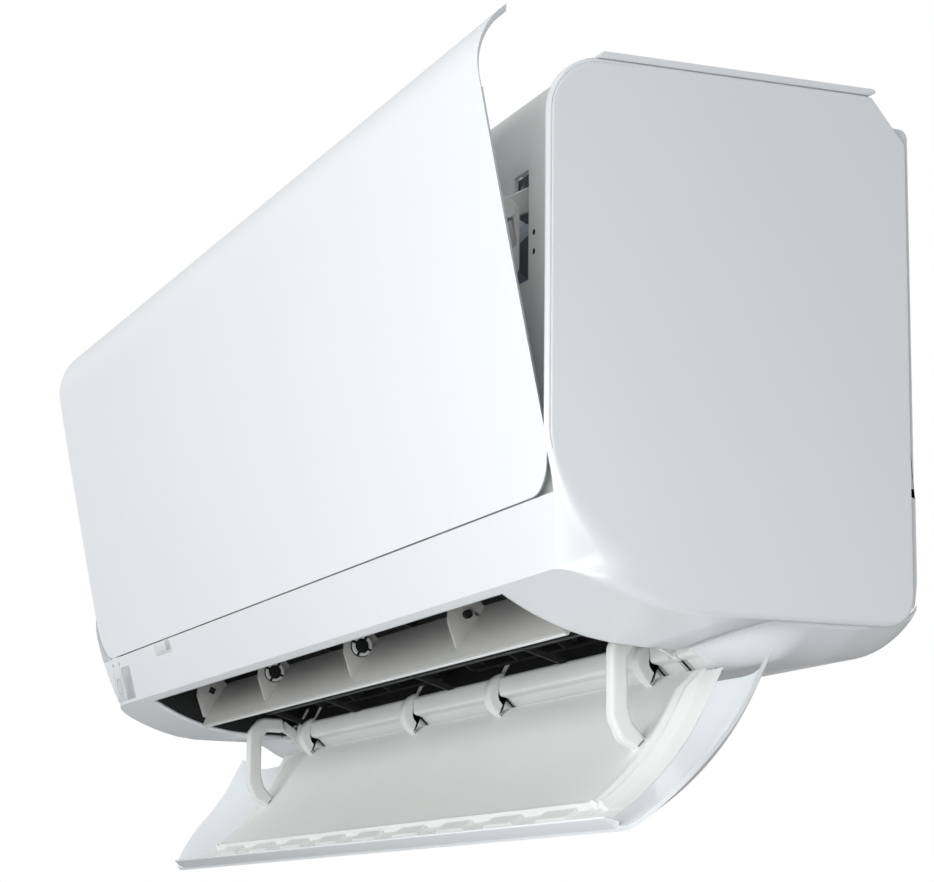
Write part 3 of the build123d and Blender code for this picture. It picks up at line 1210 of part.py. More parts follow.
# ---------------------------------------------------------------- electrics
CONTROL_X = (-HALF_W + 9.0, -OUTLET_HALF - 10.0)
CONTROL_Y = (-158.0, -112.0)
CONTROL_Z = (FAN[1] + MOTOR_R + 12.0, TOP - 20.0)


def control_box():
    """Open tray of the controls at the left end."""
    x0, x1 = CONTROL_X
    y0, y1 = CONTROL_Y
    z0, z1 = CONTROL_Z
    tray = box(x0, x1, y0, y1, z0, z1) - box(x0 + 2, x1 - 2, y0 - 1, y1 - 2, z0 + 2, z1 - 2)
    foot_a = box(x0 + 8, x0 + 18, y1, BACK_Y - 0.3, z1 - 24, z1 - 16)
    foot_b = box(x1 - 18, x1 - 8, y1, BACK_Y - 0.3, z1 - 24, z1 - 16)
    return tray + foot_a + foot_b


def control_cover():
    """Cover of the control tray."""
    x0, x1 = CONTROL_X
    z0, z1 = CONTROL_Z
    y0 = CONTROL_Y[0]
    lid = box(x0, x1, y0 - 2, y0, z0, z1)
    return lid - [box(x0 + 10 + 9 * i, x0 + 14 + 9 * i, y0 - 5, y0 + 5, z1 - 40, z1 - 12) for i in range(6)]


def circuit_board():
    """Circuit board with its larger parts."""
    x0, x1 = CONTROL_X
    z0, z1 = CONTROL_Z
    y = CONTROL_Y[1] - 2
    board = box(x0 + 5, x1 - 5, y - 7.6, y - 6, z0 + 5, z1 - 5)
    posts = [Pos(x, y, z) * Rot(90, 0, 0) * Cylinder(2.5, 6, align=(Align.CENTER, Align.CENTER, Align.MIN))
             for x in (x0 + 9, x1 - 9) for z in (z0 + 9, z1 - 9)]
    parts = [box(x0 + 12, x0 + 38, y - 26, y - 7.6, z0 + 50, z0 + 78)]
    parts += [Pos(x0 + 52, y - 7.6, z0 + 30 + 22 * i) * Rot(90, 0, 0)
              * Cylinder(8, 22, align=(Align.CENTER, Align.CENTER, Align.MIN)) for i in range(3)]
    parts.append(box(x0 + 12, x0 + 34, y - 18, y - 7.6, z0 + 14, z0 + 40))
    whole = board
    for piece in posts + parts:
        whole += piece
    return whole


def terminal_block():
    """Four-way terminal block below the control tray."""
    x0, x1 = CONTROL_X[0] + 6, CONTROL_X[0] + 62
    z1 = CONTROL_Z[0]
    block = box(x0, x1, -156, -140, z1 - 24, z1)
    for i in range(4):
        x = x0 + 7 + 14 * i
        block -= box(x - 5, x + 5, -157, -150, z1 - 25, z1 - 4)
        block += Pos(x, -150, z1 - 12) * Rot(90, 0, 0) * Cylinder(
            3.2, 2.5, align=(Align.CENTER, Align.CENTER, Align.MIN))
    return block


def cable_clamp():
    """Saddle for the connecting cable, empty as delivered."""
    x0, x1 = CONTROL_X[0] + 14, CONTROL_X[0] + 54
    z1 = CONTROL_Z[0] - 24
    saddle = box(x0, x1, -156, -140, z1 - 12, z1)
    return saddle - Pos((x0 + x1) / 2, -156, z1 - 6) * Cylinder(6.5, 20)


def display_board():
    """Small board behind the strip that carries the lamps and the receiver."""
    plane = strip_plane((DISPLAY_X + RECEIVER_X) / 2 + 7, 0.62)
    width = RECEIVER_X - DISPLAY_X + 56
    board = extrude(plane * Rectangle(width, 15.0), amount=-1.2)
    return board.moved(Location(plane.z_dir * -(WALL + 0.3)))


def emergency_button():
    """Push button behind the panel."""
    x, z = BUTTON_AT
    cap = Pos(x, POCKET_Y - 1.8, z) * Rot(-90, 0, 0) * Cylinder(
        BUTTON_R, WALL + 3.0, align=(Align.CENTER, Align.CENTER, Align.MIN))
    flange_y = POCKET_BACK + 0.2
    return cap + Pos(x, flange_y, z) * Rot(-90, 0, 0) * Cylinder(
        BUTTON_R + 2.0, 1.5, align=(Align.CENTER, Align.CENTER, Align.MIN))


def louvre_motor():
    """Stepping motor of the louvre, outside the left bulkhead."""
    x_face = -OUTLET_HALF - 1.0 - BULKHEAD_T
    body = rod(*LOUVRE_AXIS, STEPPER_R, x_face - STEPPER_L, x_face)
    ear = Pos(x_face - 0.5, *LOUVRE_AXIS) * Box(1.0, 42.0, 9.0)
    return (body + ear) - rod(*LOUVRE_AXIS, LOUVRE_PIN_R + RUN, x_face - 6, x_face + 1)


def casing_screws():
    """Screws that hold the casing to the drain pan's front wall."""
    screws = []
    for x in SCREW_X:
        head = Pos(x, POCKET_Y - 1.2, SCREW_Z) * Rot(90, 0, 0) * Cylinder(3.6, 2.4)
        shank = Pos(x, POCKET_Y + 5.5, SCREW_Z) * Rot(90, 0, 0) * Cylinder(SCREW_R, 11.0)
        cross = Pos(x, POCKET_Y - 2.4, SCREW_Z) * (Box(4.0, 1.6, 0.9) + Box(0.9, 1.6, 4.0))
        screws.append(head + shank - cross)
    return screws


# ---------------------------------------------------------------- wall plate
def wall_plate():
    """Pressed steel plate with a turned edge, two top hooks and two lower tongues."""
    half, high = PLATE_HALF, PLATE_HALF_H
    outline = [(-half, -high), (half, -high), (half, high - 18), (half - 40, high),
               (-half + 40, high), (-half, high - 18)]
    plate = extrude(Plane.XZ * make_face(FilletPolyline(*outline, radius=8.0, close=True)),
                    amount=PLATE_T)
    bead = extrude(Plane.XZ * (RectangleRounded(2 * half - 60, 12, 5.0) - RectangleRounded(
        2 * half - 66, 6, 2.0)), amount=PLATE_T + 1.6)
    plate += [Pos(0, 0, z) * bead for z in (-45.0, 45.0)]
    for x in (-PLATE_BOLT_X, PLATE_BOLT_X):
        for z in (-PLATE_BOLT_Z, PLATE_BOLT_Z):
            plate -= Pos(x, 0, z) * Rot(90, 0, 0) * Cylinder(PLATE_BOLT_R, 10)
    for x in (-130.0, 130.0):
        plate -= Pos(x, 0, 0) * Rot(90, 0, 0) * extrude(SlotOverall(40.0, 9.0), amount=10, both=True)
    for x in (-PLATE_HOOK_X, PLATE_HOOK_X):
        plate += plate_hook(x)
        plate += box(x - 10, x + 10, -5.5, 0, -high - 6, -high + 2) - box(
            x - 10, x + 10, -4.0, -1.5, -high - 7, -high + 1)
    return plate


def plate_hook(x):
    """Hook that passes through a slot of the chassis back wall, whose top edge rests on it."""
    top = HOOK_SLOT_TOP - 0.3
    tip = BACK_Y - 0.4
    outline = [(0.0, PLATE_HALF_H - 6), (0.0, top), (tip, top), (tip, top + 4.0),
               (tip - HOOK_T, top + 4.0), (tip - HOOK_T, top - HOOK_T),
               (-PLATE_T, top - HOOK_T), (-PLATE_T, PLATE_HALF_H - 6)]
    return prism(outline, x - 11, x + 11)


# ---------------------------------------------------------------- all pieces
def main():
    os.makedirs("parts", exist_ok=True)
    save(front_casing(), "front_casing")
    save(top_grille(), "top_grille")
    save(chassis(), "chassis")
    clear_inlay, grey_inlay, lamps, lens = display_inlays()
    save(clear_inlay, "display_window")
    save(grey_inlay, "display_screen")
    save(lamps, "lamp_lenses")
    save(lens, "receiver_lens")
    save(intake_panel(), "intake_panel")
    save(panel_brackets(), "panel_brackets")
    save(panel_crank(1), "panel_crank_right")
    save(panel_crank(-1), "panel_crank_left")
    save(panel_motors(), "panel_motors")
    save(flap_skin(), "flap_skin")
    save(flap_liner(), "flap_liner")
    save(flap_hooks(), "flap_hooks")
    save(flap_arms(), "flap_arms")
    save(flap_pins(), "flap_pins")
    save(louvre(), "air_louvre")
    save(louvre_brackets(), "louvre_brackets")
    save(louvre_clips(), "louvre_clips")
    save(louvre_motor(), "louvre_motor")
    save(drain_pan(), "drain_pan")
    save(drain_spout(), "drain_spout")
    save(outlet_guard(), "outlet_guard")
    for side, end in ((-1, "left"), (1, "right")):
        for i, x in enumerate(vane_places(side)):
            save(vane(x), f"vane_{end}_{i + 1}")
        save(tie_bar(side), f"vane_tie_{end}")
        save(air_filter(side), f"air_filter_{end}")
    save(vane_rails(), "vane_rails")
    save(fan_wheel(), "fan_wheel")
    save(fan_shafts(), "fan_shafts")
    save(fan_bearing(), "fan_bearing")
    save(fan_motor(), "fan_motor")
    save(motor_clamp(), "motor_clamp")
    save(coil_slabs(), "coil_fins")
    plates, bends = coil_ends()
    save(plates, "coil_end_plates")
    save(bends, "coil_bends")
    save(pipes(), "refrigerant_pipes")
    save(pipe_saddle(), "pipe_saddle")
    save(control_box(), "control_box")
    save(control_cover(), "control_cover")
    save(circuit_board(), "circuit_board")
    save(terminal_block(), "terminal_block")
    save(cable_clamp(), "cable_clamp")
    save(display_board(), "display_board")
    save(emergency_button(), "emergency_button")
    save(casing_screws(), "casing_screws")
    save(wall_plate(), "wall_plate")


main()
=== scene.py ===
import logging
import math
from dataclasses import dataclass, field
from enum import Enum
from typing import Callable, Iterable, Optional, Sequence, Union

import bmesh
import bpy
import numpy as np
from mathutils import Matrix, Vector
from mathutils.geometry import tessellate_polygon


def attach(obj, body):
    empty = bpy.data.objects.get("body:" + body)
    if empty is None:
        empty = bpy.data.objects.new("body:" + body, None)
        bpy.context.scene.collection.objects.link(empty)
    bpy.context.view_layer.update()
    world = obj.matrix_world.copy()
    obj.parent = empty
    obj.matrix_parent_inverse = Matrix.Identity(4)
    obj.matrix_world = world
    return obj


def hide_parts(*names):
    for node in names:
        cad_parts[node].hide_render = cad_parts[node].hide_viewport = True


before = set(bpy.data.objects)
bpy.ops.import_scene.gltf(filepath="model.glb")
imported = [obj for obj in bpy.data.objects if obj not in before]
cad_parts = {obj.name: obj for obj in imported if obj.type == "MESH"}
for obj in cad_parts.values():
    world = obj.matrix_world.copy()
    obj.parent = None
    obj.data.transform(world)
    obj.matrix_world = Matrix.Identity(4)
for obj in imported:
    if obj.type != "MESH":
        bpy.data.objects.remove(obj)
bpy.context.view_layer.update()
LOG = logging.getLogger("indoor_unit")
MM = 0.001
Array = np.ndarray


# ------------------------------------------------------------------ geometry
def arc(centre: Sequence[float], radius: float, start: float, end: float, count: int = 12) -> Array:
    """Points of a circular arc in the side view.

    Args:
        centre: (y, z) of the centre in mm.
        radius: radius in mm.
        start: first angle in degrees, from +Y towards +Z.
        end: last angle in degrees.
        count: number of points.

    Returns:
        Array of shape (count, 2): centre + radius * (cos, sin) of evenly spaced angles.
    """
    a = np.radians(np.linspace(start, end, count))
    return np.stack([centre[0] + radius * np.cos(a), centre[1] + radius * np.sin(a)], axis=1)


def rounded(points: Sequence[Sequence[float]], radii: Sequence[float], closed: bool = True,
            count: int = 8) -> Array:
    """Outline whose corners are replaced by arcs tangent to both neighbours.

    Args:
        points: (y, z) corners in mm, in order.
        radii: one fillet radius per corner; 0 keeps the corner.
        closed: whether the last corner joins the first.
        count: points on each arc.

    Returns:
        Array of outline points. Each arc starts r * tan(turn / 2) before its corner and is centred
        on the bisector at r / cos(turn / 2).
    """
    pts = np.asarray(points, float)
    n = len(pts)
    out = []
    for i in range(n):
        p, r = pts[i], radii[i]
        if r <= 0 or (not closed and i in (0, n - 1)):
            out.append(p[None])
            continue
        a = pts[i - 1] - p
        b = pts[(i + 1) % n] - p
        la, lb = np.linalg.norm(a), np.linalg.norm(b)
        ua, ub = a / la, b / lb
        half = math.acos(max(-1.0, min(1.0, float(ua @ ub)))) / 2
        cut = min(r / math.tan(half), 0.49 * la, 0.49 * lb)
        r = cut * math.tan(half)
        bis = (ua + ub) / np.linalg.norm(ua + ub)
        centre = p + bis * r / math.sin(half)
        s, e = p + ua * cut - centre, p + ub * cut - centre
        t = np.linspace(0, 1, count)[:, None]
        ang = math.pi - 2 * half
        w0, w1 = np.sin((1 - t) * ang), np.sin(t * ang)
        out.append(centre + (w0 * s + w1 * e) / math.sin(ang))
    return np.concatenate(out)


def normals_2d(points: Array, closed: bool = True) -> Array:
    """Unit normals to the right of an outline's direction, by central differences."""
    if closed:
        d = np.roll(points, -1, axis=0) - np.roll(points, 1, axis=0)
    else:
        d = np.gradient(points, axis=0)
    d /= np.maximum(np.linalg.norm(d, axis=1, keepdims=True), 1e-12)
    return np.stack([d[:, 1], -d[:, 0]], axis=1)


def area_2d(points: Array) -> float:
    """Signed area of a closed outline, positive when it runs anticlockwise."""
    q = np.roll(points, -1, axis=0)
    return float(np.sum(points[:, 0] * q[:, 1] - q[:, 0] * points[:, 1]) / 2)


def swing(points: Array, axis: Sequence[float], degrees: float) -> Array:
    """Points turned about a line along X through (y, z) = axis, by the right-hand rule."""
    a = math.radians(degrees)
    out = np.array(points, float)
    y, z = points[..., 1] - axis[0], points[..., 2] - axis[1]
    out[..., 1] = axis[0] + y * math.cos(a) - z * math.sin(a)
    out[..., 2] = axis[1] + y * math.sin(a) + z * math.cos(a)
    return out


def make_mesh(name: str, points: Array, quads: Array, polygons: Sequence[Sequence[int]] = (),
              sharp: float = 35.0) -> bpy.types.Object:
    """Object from points in mm and faces; smooth with sharp edges above an angle.

    Args:
        name: object name.
        points: (n, 3) points in mm in the part's frame.
        quads: (m, 4) indices of the quads.
        polygons: further faces, such as end caps.
        sharp: edges that turn by more than this many degrees stay sharp.

    Returns:
        The new object, linked to the scene, at the origin.
    """
    mesh = bpy.data.meshes.new(name)
    faces = [tuple(q) for q in np.asarray(quads).tolist()] + [tuple(p) for p in polygons]
    mesh.from_pydata((np.asarray(points) * MM).tolist(), [], faces)
    mesh.validate()
    mesh.polygons.foreach_set("use_smooth", np.ones(len(mesh.polygons), bool))
    mesh.set_sharp_from_angle(angle=math.radians(sharp))
    mesh.update()
    obj = bpy.data.objects.new(name, mesh)
    bpy.context.scene.collection.objects.link(obj)
    return obj


def grid_quads(rows: int, cols: int, wrap_rows: bool = False, wrap_cols: bool = False,
               start: int = 0) -> Array:
    """Quad indices of a rows by cols grid of points, joined round where asked."""
    i = np.arange(rows if wrap_rows else rows - 1)
    j = np.arange(cols if wrap_cols else cols - 1)
    ii, jj = np.meshgrid(i, j, indexing="ij")
    i2, j2 = (ii + 1) % rows, (jj + 1) % cols
    q = np.stack([ii * cols + jj, ii * cols + j2, i2 * cols + j2, i2 * cols + jj], axis=-1)
    return q.reshape(-1, 4) + start


def outward(points: Array, quads: Array, polygons: list) -> tuple:
    """Faces turned so that the closed surface's volume, summed over its faces, is positive."""
    def volumes(p: Array, q: Array, r: Array) -> float:
        """Six times the volume that triangles make with the origin: the sum of p . (q x r)."""
        return np.einsum("ij,ij->i", p, np.cross(q, r)).sum()
    a, b, c, d = (points[quads[:, k]] for k in range(4))
    vol = volumes(a, b, c) + volumes(a, c, d)
    for poly in polygons:
        q = points[list(poly)]
        vol += volumes(np.broadcast_to(q[0], q[1:-1].shape), q[1:-1], q[2:])
    if vol < 0:
        quads = quads[:, ::-1]
        polygons = [poly[::-1] for poly in polygons]
    return quads, polygons


def rings_solid(rings: Array) -> tuple:
    """Closed skin over a stack of closed rings, with flat end caps.

    Args:
        rings: (stations, n, 3) ring points in mm.

    Returns:
        (points, quads, caps) with faces outwards.
    """
    rows, cols = rings.shape[:2]
    pts = rings.reshape(-1, 3)
    quads = grid_quads(rows, cols, wrap_cols=True)
    caps = [list(range(cols)), list(range((rows - 1) * cols, rows * cols))[::-1]]
    quads, caps = outward(pts, quads, caps)
    return pts, quads, caps


def bar(profile: Array, x0: float, x1: float, edge: float = 0.6, steps: int = 3) -> tuple:
    """Side-view outline carried along X, its two end edges rounded.

    Args:
        profile: closed (n, 2) outline of (y, z) in mm.
        x0: first end in mm.
        x1: second end in mm.
        edge: radius of the end edges.
        steps: rings on each rounding.

    Returns:
        (points, quads, caps). At an angle a of the rounding the outline is inset by
        edge * (1 - cos a) along its normal, and lies edge * (1 - sin a) inside the end.
    """
    prof = np.asarray(profile, float)
    if area_2d(prof) < 0:
        prof = prof[::-1]
    nrm = normals_2d(prof)
    a = np.linspace(0, math.pi / 2, steps + 1)
    inset = edge * (1 - np.sin(a))
    depth = edge * (1 - np.cos(a))
    xs = np.concatenate([x0 + depth, x1 - depth[::-1]])
    ins = np.concatenate([inset, inset[::-1]])
    y = prof[None, :, 0] - nrm[None, :, 0] * ins[:, None]
    z = prof[None, :, 1] - nrm[None, :, 1] * ins[:, None]
    x = np.broadcast_to(xs[:, None], y.shape)
    return rings_solid(np.stack([x, y, z], axis=-1))


def rod(centre: Sequence[float], radius: float, x0: float, x1: float, edge: float,
        sides: int = 24) -> tuple:
    """Round pin along X: a circle of evenly spaced points about (y, z), carried from x0 to x1."""
    return bar(arc(centre, radius, 0, 360 - 360 / sides, sides), x0, x1, edge)


def closed_ring(rows: Array) -> tuple:
    """Closed skin of (section, n, 3) points, where each point of the section runs once round."""
    pts = rows.reshape(-1, 3)
    quads = grid_quads(*rows.shape[:2], wrap_rows=True, wrap_cols=True)
    return pts, outward(pts, quads, [])[0], []


def lathe(profile: Array, axis: Sequence[float], sides: int = 48) -> tuple:
    """Closed (x, r) outline turned about a line along X.

    Args:
        profile: (n, 2) closed outline of x and radius in mm.
        axis: (y, z) of the line.
        sides: steps round it.

    Returns:
        (points, quads, []): every profile point swept round the axis.
    """
    a = np.linspace(0, 2 * math.pi, sides, endpoint=False)
    x = np.broadcast_to(profile[:, 0][:, None], (len(profile), sides))
    r = profile[:, 1][:, None]
    return closed_ring(np.stack([x, axis[0] + r * np.cos(a), axis[1] + r * np.sin(a)], axis=-1))


def joined(parts: Iterable[tuple]) -> tuple:
    """Several (points, quads, caps) in one, with their indices shifted."""
    pts, quads, caps, base = [], [], [], 0
    for p, q, c in parts:
        pts.append(p)
        quads.append(np.asarray(q) + base)
        caps += [[k + base for k in poly] for poly in c]
        base += len(p)
    return np.concatenate(pts), np.concatenate(quads), caps


def sheet_solid(outer: Array, inner: Array) -> tuple:
    """Closed thin shell between two grids of the same shape, its four edges joined.

    Args:
        outer: (rows, cols, 3) grid in mm.
        inner: the same grid on the other side of the wall.

    Returns:
        (points, quads, []) with faces outwards.
    """
    rows, cols = outer.shape[:2]
    n = rows * cols
    pts = np.concatenate([outer.reshape(-1, 3), inner.reshape(-1, 3)])
    top = grid_quads(rows, cols)
    bottom = top[:, ::-1] + n
    idx = np.arange(n).reshape(rows, cols)
    loop = np.concatenate([idx[0, :-1], idx[:-1, -1], idx[-1, :0:-1], idx[:0:-1, 0]])
    nxt = np.roll(loop, -1)
    rim = np.stack([nxt, loop, loop + n, nxt + n], axis=1)
    return pts, outward(pts, np.concatenate([top, bottom, rim]), [])[0], []


def masked_plate(us: Array, vs: Array, hole: Callable[[Array, Array], Array],
                 place: Callable[[Array, Array, float], Array], wall: float) -> tuple:
    """Plate on a grid of lines, without the cells that a test calls holes.

    Args:
        us: grid lines one way.
        vs: grid lines the other way.
        hole: tells from arrays of cell centres which cells are open.
        place: maps (u, v, depth) to points in mm.
        wall: thickness in mm.

    Returns:
        (points, quads, []): both faces of every kept cell, and a wall wherever a kept cell
        meets an open one or the outside.
    """
    cu, cv = np.meshgrid((us[1:] + us[:-1]) / 2, (vs[1:] + vs[:-1]) / 2, indexing="ij")
    keep = ~hole(cu, cv)
    gu, gv = np.meshgrid(us, vs, indexing="ij")
    pts = np.concatenate([place(gu, gv, 0.0).reshape(-1, 3), place(gu, gv, wall).reshape(-1, 3)])
    rows, cols = len(us), len(vs)
    n = rows * cols
    idx = np.arange(n).reshape(rows, cols)
    a, b, c, d = idx[:-1, :-1], idx[:-1, 1:], idx[1:, 1:], idx[1:, :-1]
    quads = [np.stack([a, b, c, d], -1)[keep], np.stack([d, c, b, a], -1)[keep] + n]
    pad = np.pad(keep, 1)
    inner = pad[1:-1, 1:-1]
    for shift, e0, e1 in ((pad[:-2, 1:-1], a, b), (pad[2:, 1:-1], c, d),
                          (pad[1:-1, :-2], d, a), (pad[1:-1, 2:], b, c)):
        m = inner & ~shift
        quads.append(np.stack([e1[m], e0[m], e0[m] + n, e1[m] + n], -1))
    q = np.concatenate(quads)
    used = np.unique(q)
    remap = np.full(2 * n, -1)
    remap[used] = np.arange(len(used))
    pts = pts[used]
    return pts, outward(pts, remap[q], [])[0], []


def build(name: str, part: tuple, sharp: float = 35.0) -> bpy.types.Object:
    """Object from (points, quads, caps)."""
    return make_mesh(name, *part, sharp)


def mirror_x(part: tuple) -> tuple:
    """The same solid at the other end of the unit, its faces turned outwards again."""
    pts = part[0] * np.array([-1.0, 1.0, 1.0])
    return pts, part[1][:, ::-1], [poly[::-1] for poly in part[2]]


# ------------------------------------------------------------------ finishes
def linear(code: str) -> tuple:
    """Linear RGBA of an sRGB hex code."""
    v = np.array([int(code[i:i + 2], 16) / 255 for i in (1, 3, 5)])
    lin = np.where(v <= 0.04045, v / 12.92, ((v + 0.055) / 1.055) ** 2.4)
    return (*[float(c) for c in lin], 1.0)


def add(tree: bpy.types.NodeTree, kind: str, links: Optional[dict] = None,
        **settings) -> bpy.types.Node:
    """Adds a node with its settings and links.

    Args:
        tree: node tree of the material.
        kind: node type.
        links: input name or index to an output socket or a plain value.
        settings: attributes of the node.

    Returns:
        The new node.
    """
    node = tree.nodes.new(kind)
    for key, value in settings.items():
        setattr(node, key, value)
    for key, value in (links or {}).items():
        if isinstance(value, bpy.types.NodeSocket):
            tree.links.new(value, node.inputs[key])
        else:
            node.inputs[key].default_value = value
    return node


class Relief(Enum):
    """How a surface was worked, which sets its fine relief."""
    MOULDED = "moulded"
    GRAINED = "grained"
    ROLLED = "rolled"
    FINNED = "finned"


@dataclass(frozen=True)
class Finish:
    """A real surface: its substance, colour and how it was made.

    Each finish mixes two close tones by a slow noise, varies its roughness by a finer one, and
    gets its relief from the way that it was worked.
    """
    name: str
    tone: str
    shade: str
    rough: float
    relief: Relief = Relief.MOULDED
    spread: float = 0.05
    metallic: float = 0.0
    coat: float = 0.0
    grain_mm: float = 0.6
    depth: float = 0.06
    cloud_mm: float = 90.0
    ior: float = 1.5

    def material(self) -> bpy.types.Material:
        """Node material of the finish, made once.

        Returns:
            The material, whose patterns read Object coordinates in real millimetres.
        """
        found = bpy.data.materials.get(self.name)
        if found:
            return found
        mat = bpy.data.materials.new(self.name)
        mat.use_nodes = True
        tree = mat.node_tree
        shader = tree.nodes["Principled BSDF"]
        place = add(tree, "ShaderNodeTexCoord").outputs["Object"]
        cloud = add(tree, "ShaderNodeTexNoise", {"Vector": place, "Scale": 1000 / self.cloud_mm,
                                                 "Detail": 3.0})
        tones = add(tree, "ShaderNodeMix", {"Factor": cloud.outputs["Fac"], 6: linear(self.tone),
                                            7: linear(self.shade)}, data_type="RGBA")
        tree.links.new(tones.outputs[2], shader.inputs["Base Color"])
        fine = add(tree, "ShaderNodeTexNoise", {"Vector": place, "Scale": 1000 / (self.grain_mm * 12),
                                                "Detail": 4.0})
        rough = add(tree, "ShaderNodeMapRange", {"Value": fine.outputs["Fac"],
                                                 "To Min": max(self.rough - self.spread, 0.02),
                                                 "To Max": self.rough + self.spread})
        tree.links.new(rough.outputs[0], shader.inputs["Roughness"])
        height = self.height(tree, place)
        bump = add(tree, "ShaderNodeBump", {"Height": height, "Strength": self.depth,
                                            "Distance": 0.0005})
        tree.links.new(bump.outputs[0], shader.inputs["Normal"])
        shader.inputs["Metallic"].default_value = self.metallic
        shader.inputs["Coat Weight"].default_value = self.coat
        shader.inputs["Coat Roughness"].default_value = 0.08
        shader.inputs["IOR"].default_value = self.ior
        return mat

    def height(self, tree: bpy.types.NodeTree, place: bpy.types.NodeSocket) -> bpy.types.NodeSocket:
        """Relief of the surface as a height.

        Args:
            tree: node tree of the material.
            place: Object coordinates.

        Returns:
            A socket whose value is the height.
        """
        scale = 1000 / self.grain_mm
        if self.relief is Relief.ROLLED:
            long = add(tree, "ShaderNodeMapping", {"Vector": place, "Scale": (0.04, 1.0, 1.0)})
            return add(tree, "ShaderNodeTexNoise", {"Vector": long.outputs[0], "Scale": scale,
                                                    "Detail": 5.0}).outputs["Fac"]
        if self.relief is Relief.FINNED:
            waves = add(tree, "ShaderNodeTexWave", {"Vector": place, "Scale": scale * 0.314,
                                                    "Distortion": 0.4, "Detail": 1.0},
                        bands_direction="X")
            return waves.outputs["Fac"]
        if self.relief is Relief.GRAINED:
            cells = add(tree, "ShaderNodeTexVoronoi", {"Vector": place, "Scale": scale})
            return cells.outputs["Distance"]
        return add(tree, "ShaderNodeTexNoise", {"Vector": place, "Scale": scale,
                                                "Detail": 2.0}).outputs["Fac"]


# Gloss injection-moulded ABS: bright white with a soft, wide highlight and faint flow clouds.
GLOSS_ABS = Finish("moulded_gloss_abs", "#F0F4F7", "#ECF0F3", 0.30, coat=0.25, spread=0.03,
                   grain_mm=1.2, depth=0.02, cloud_mm=160)
# Plain natural-white polystyrene of the inner mouldings: dull, slightly warm.
INNER_WHITE = Finish("moulded_white_polystyrene", "#EFF1EF", "#E6E9E7", 0.5, spread=0.06, grain_mm=0.9,
                     depth=0.08, cloud_mm=60)
# Frosted polycarbonate: milky grey, scatters light in its skin, with a fine silk grain.
FROSTED = Finish("frosted_polycarbonate", "#CACBC8", "#BFC1BE", 0.45, spread=0.05, grain_mm=0.5,
                 depth=0.12, cloud_mm=45, ior=1.58)
# Matte black polystyrene of the air path: near black, with a spark-eroded grain.
DUCT_BLACK = Finish("eroded_black_polystyrene", "#16181A", "#101213", 0.6, Relief.GRAINED, spread=0.08,
                    grain_mm=0.5, depth=0.2, cloud_mm=50)
# White acetal of the cranks and links: waxy and smooth.
ACETAL = Finish("moulded_white_acetal", "#E4E6E2", "#DADCD8", 0.38, spread=0.05, grain_mm=0.7,
                depth=0.06)
# Back-painted acrylic of the display's window: white with a polished face.
WINDOW_WHITE = Finish("back_painted_acrylic", "#E9ECEE", "#E2E6E9", 0.12, spread=0.02, coat=0.6,
                      depth=0.01, ior=1.49)
# The same acrylic over its grey half and the lamps.
WINDOW_GREY = Finish("grey_tinted_acrylic", "#C3C8CC", "#B9BFC4", 0.12, spread=0.02, coat=0.6,
                     depth=0.01, ior=1.49)
# Hydrophilic-coated aluminium fins on a 1.4 mm pitch, drawn coarser so that the fins show.
FIN_STOCK = Finish("coated_aluminium_fins", "#B8C4CC", "#9FADB6", 0.38, Relief.FINNED, metallic=0.85,
                   grain_mm=2.8, depth=1.0, spread=0.08)
# Drawn copper tube: warm metal, lightly dulled.
COPPER = Finish("drawn_copper", "#C57F5A", "#A9633F", 0.3, Relief.ROLLED, metallic=1.0, grain_mm=0.8,
                depth=0.15, spread=0.08, cloud_mm=18)
# Hot-dip galvanised sheet: pale grey metal with a spangle.
GALVANISED = Finish("galvanised_sheet", "#B4B9BC", "#9BA1A5", 0.42, Relief.GRAINED, metallic=0.9,
                    grain_mm=9.0, depth=0.05, spread=0.08, cloud_mm=14)
# Ground steel pins and shafts.
GROUND_STEEL = Finish("ground_steel", "#BFC2C4", "#AEB2B5", 0.24, Relief.ROLLED, metallic=1.0,
                      grain_mm=0.3, depth=0.1)
# Bright zinc-plated screws.
ZINC = Finish("bright_zinc_plate", "#C9CCD0", "#B9BDC2", 0.22, metallic=1.0, grain_mm=0.4, depth=0.06)
# Moulded rubber of the bearing.
RUBBER = Finish("moulded_rubber", "#1B1B1C", "#141415", 0.75, Relief.GRAINED, grain_mm=0.6, depth=0.2)
# Thermoset resin of the fan motor's case: cream, chalky.
RESIN = Finish("moulded_motor_resin", "#D9D8CF", "#CBCAC0", 0.55, grain_mm=1.0, depth=0.12, cloud_mm=30)
# Solder-masked laminate of the boards.
LAMINATE = Finish("solder_masked_laminate", "#1E5A37", "#184C2E", 0.35, grain_mm=0.8, depth=0.05,
                  coat=0.3)


def dress(obj: bpy.types.Object, finish: Finish, body: str) -> bpy.types.Object:
    """Gives a new piece its finish and the body that it rides on."""
    obj.data.materials.clear()
    obj.data.materials.append(finish.material())
    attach(obj, body)
    return obj


# Nodes that keep their CAD shape. Those not named here are black mouldings of the air path, or
# stay hidden behind the piece that stands for them.
CAD_FINISH = {
    "panel_motors": GALVANISED, "flap_pins": GROUND_STEEL, "louvre_motor": GALVANISED,
    "drain_spout": ACETAL, "air_filter_left": INNER_WHITE, "air_filter_right": INNER_WHITE,
    "fan_shafts": GROUND_STEEL, "fan_bearing": RUBBER, "fan_motor": RESIN,
    "motor_clamp": INNER_WHITE, "coil_fins": FIN_STOCK, "coil_end_plates": GALVANISED,
    "coil_bends": COPPER, "refrigerant_pipes": COPPER, "pipe_saddle": INNER_WHITE,
    "control_box": INNER_WHITE, "control_cover": GALVANISED, "circuit_board": LAMINATE,
    "display_board": LAMINATE, "emergency_button": INNER_WHITE, "casing_screws": ZINC,
    "wall_plate": GALVANISED,
}


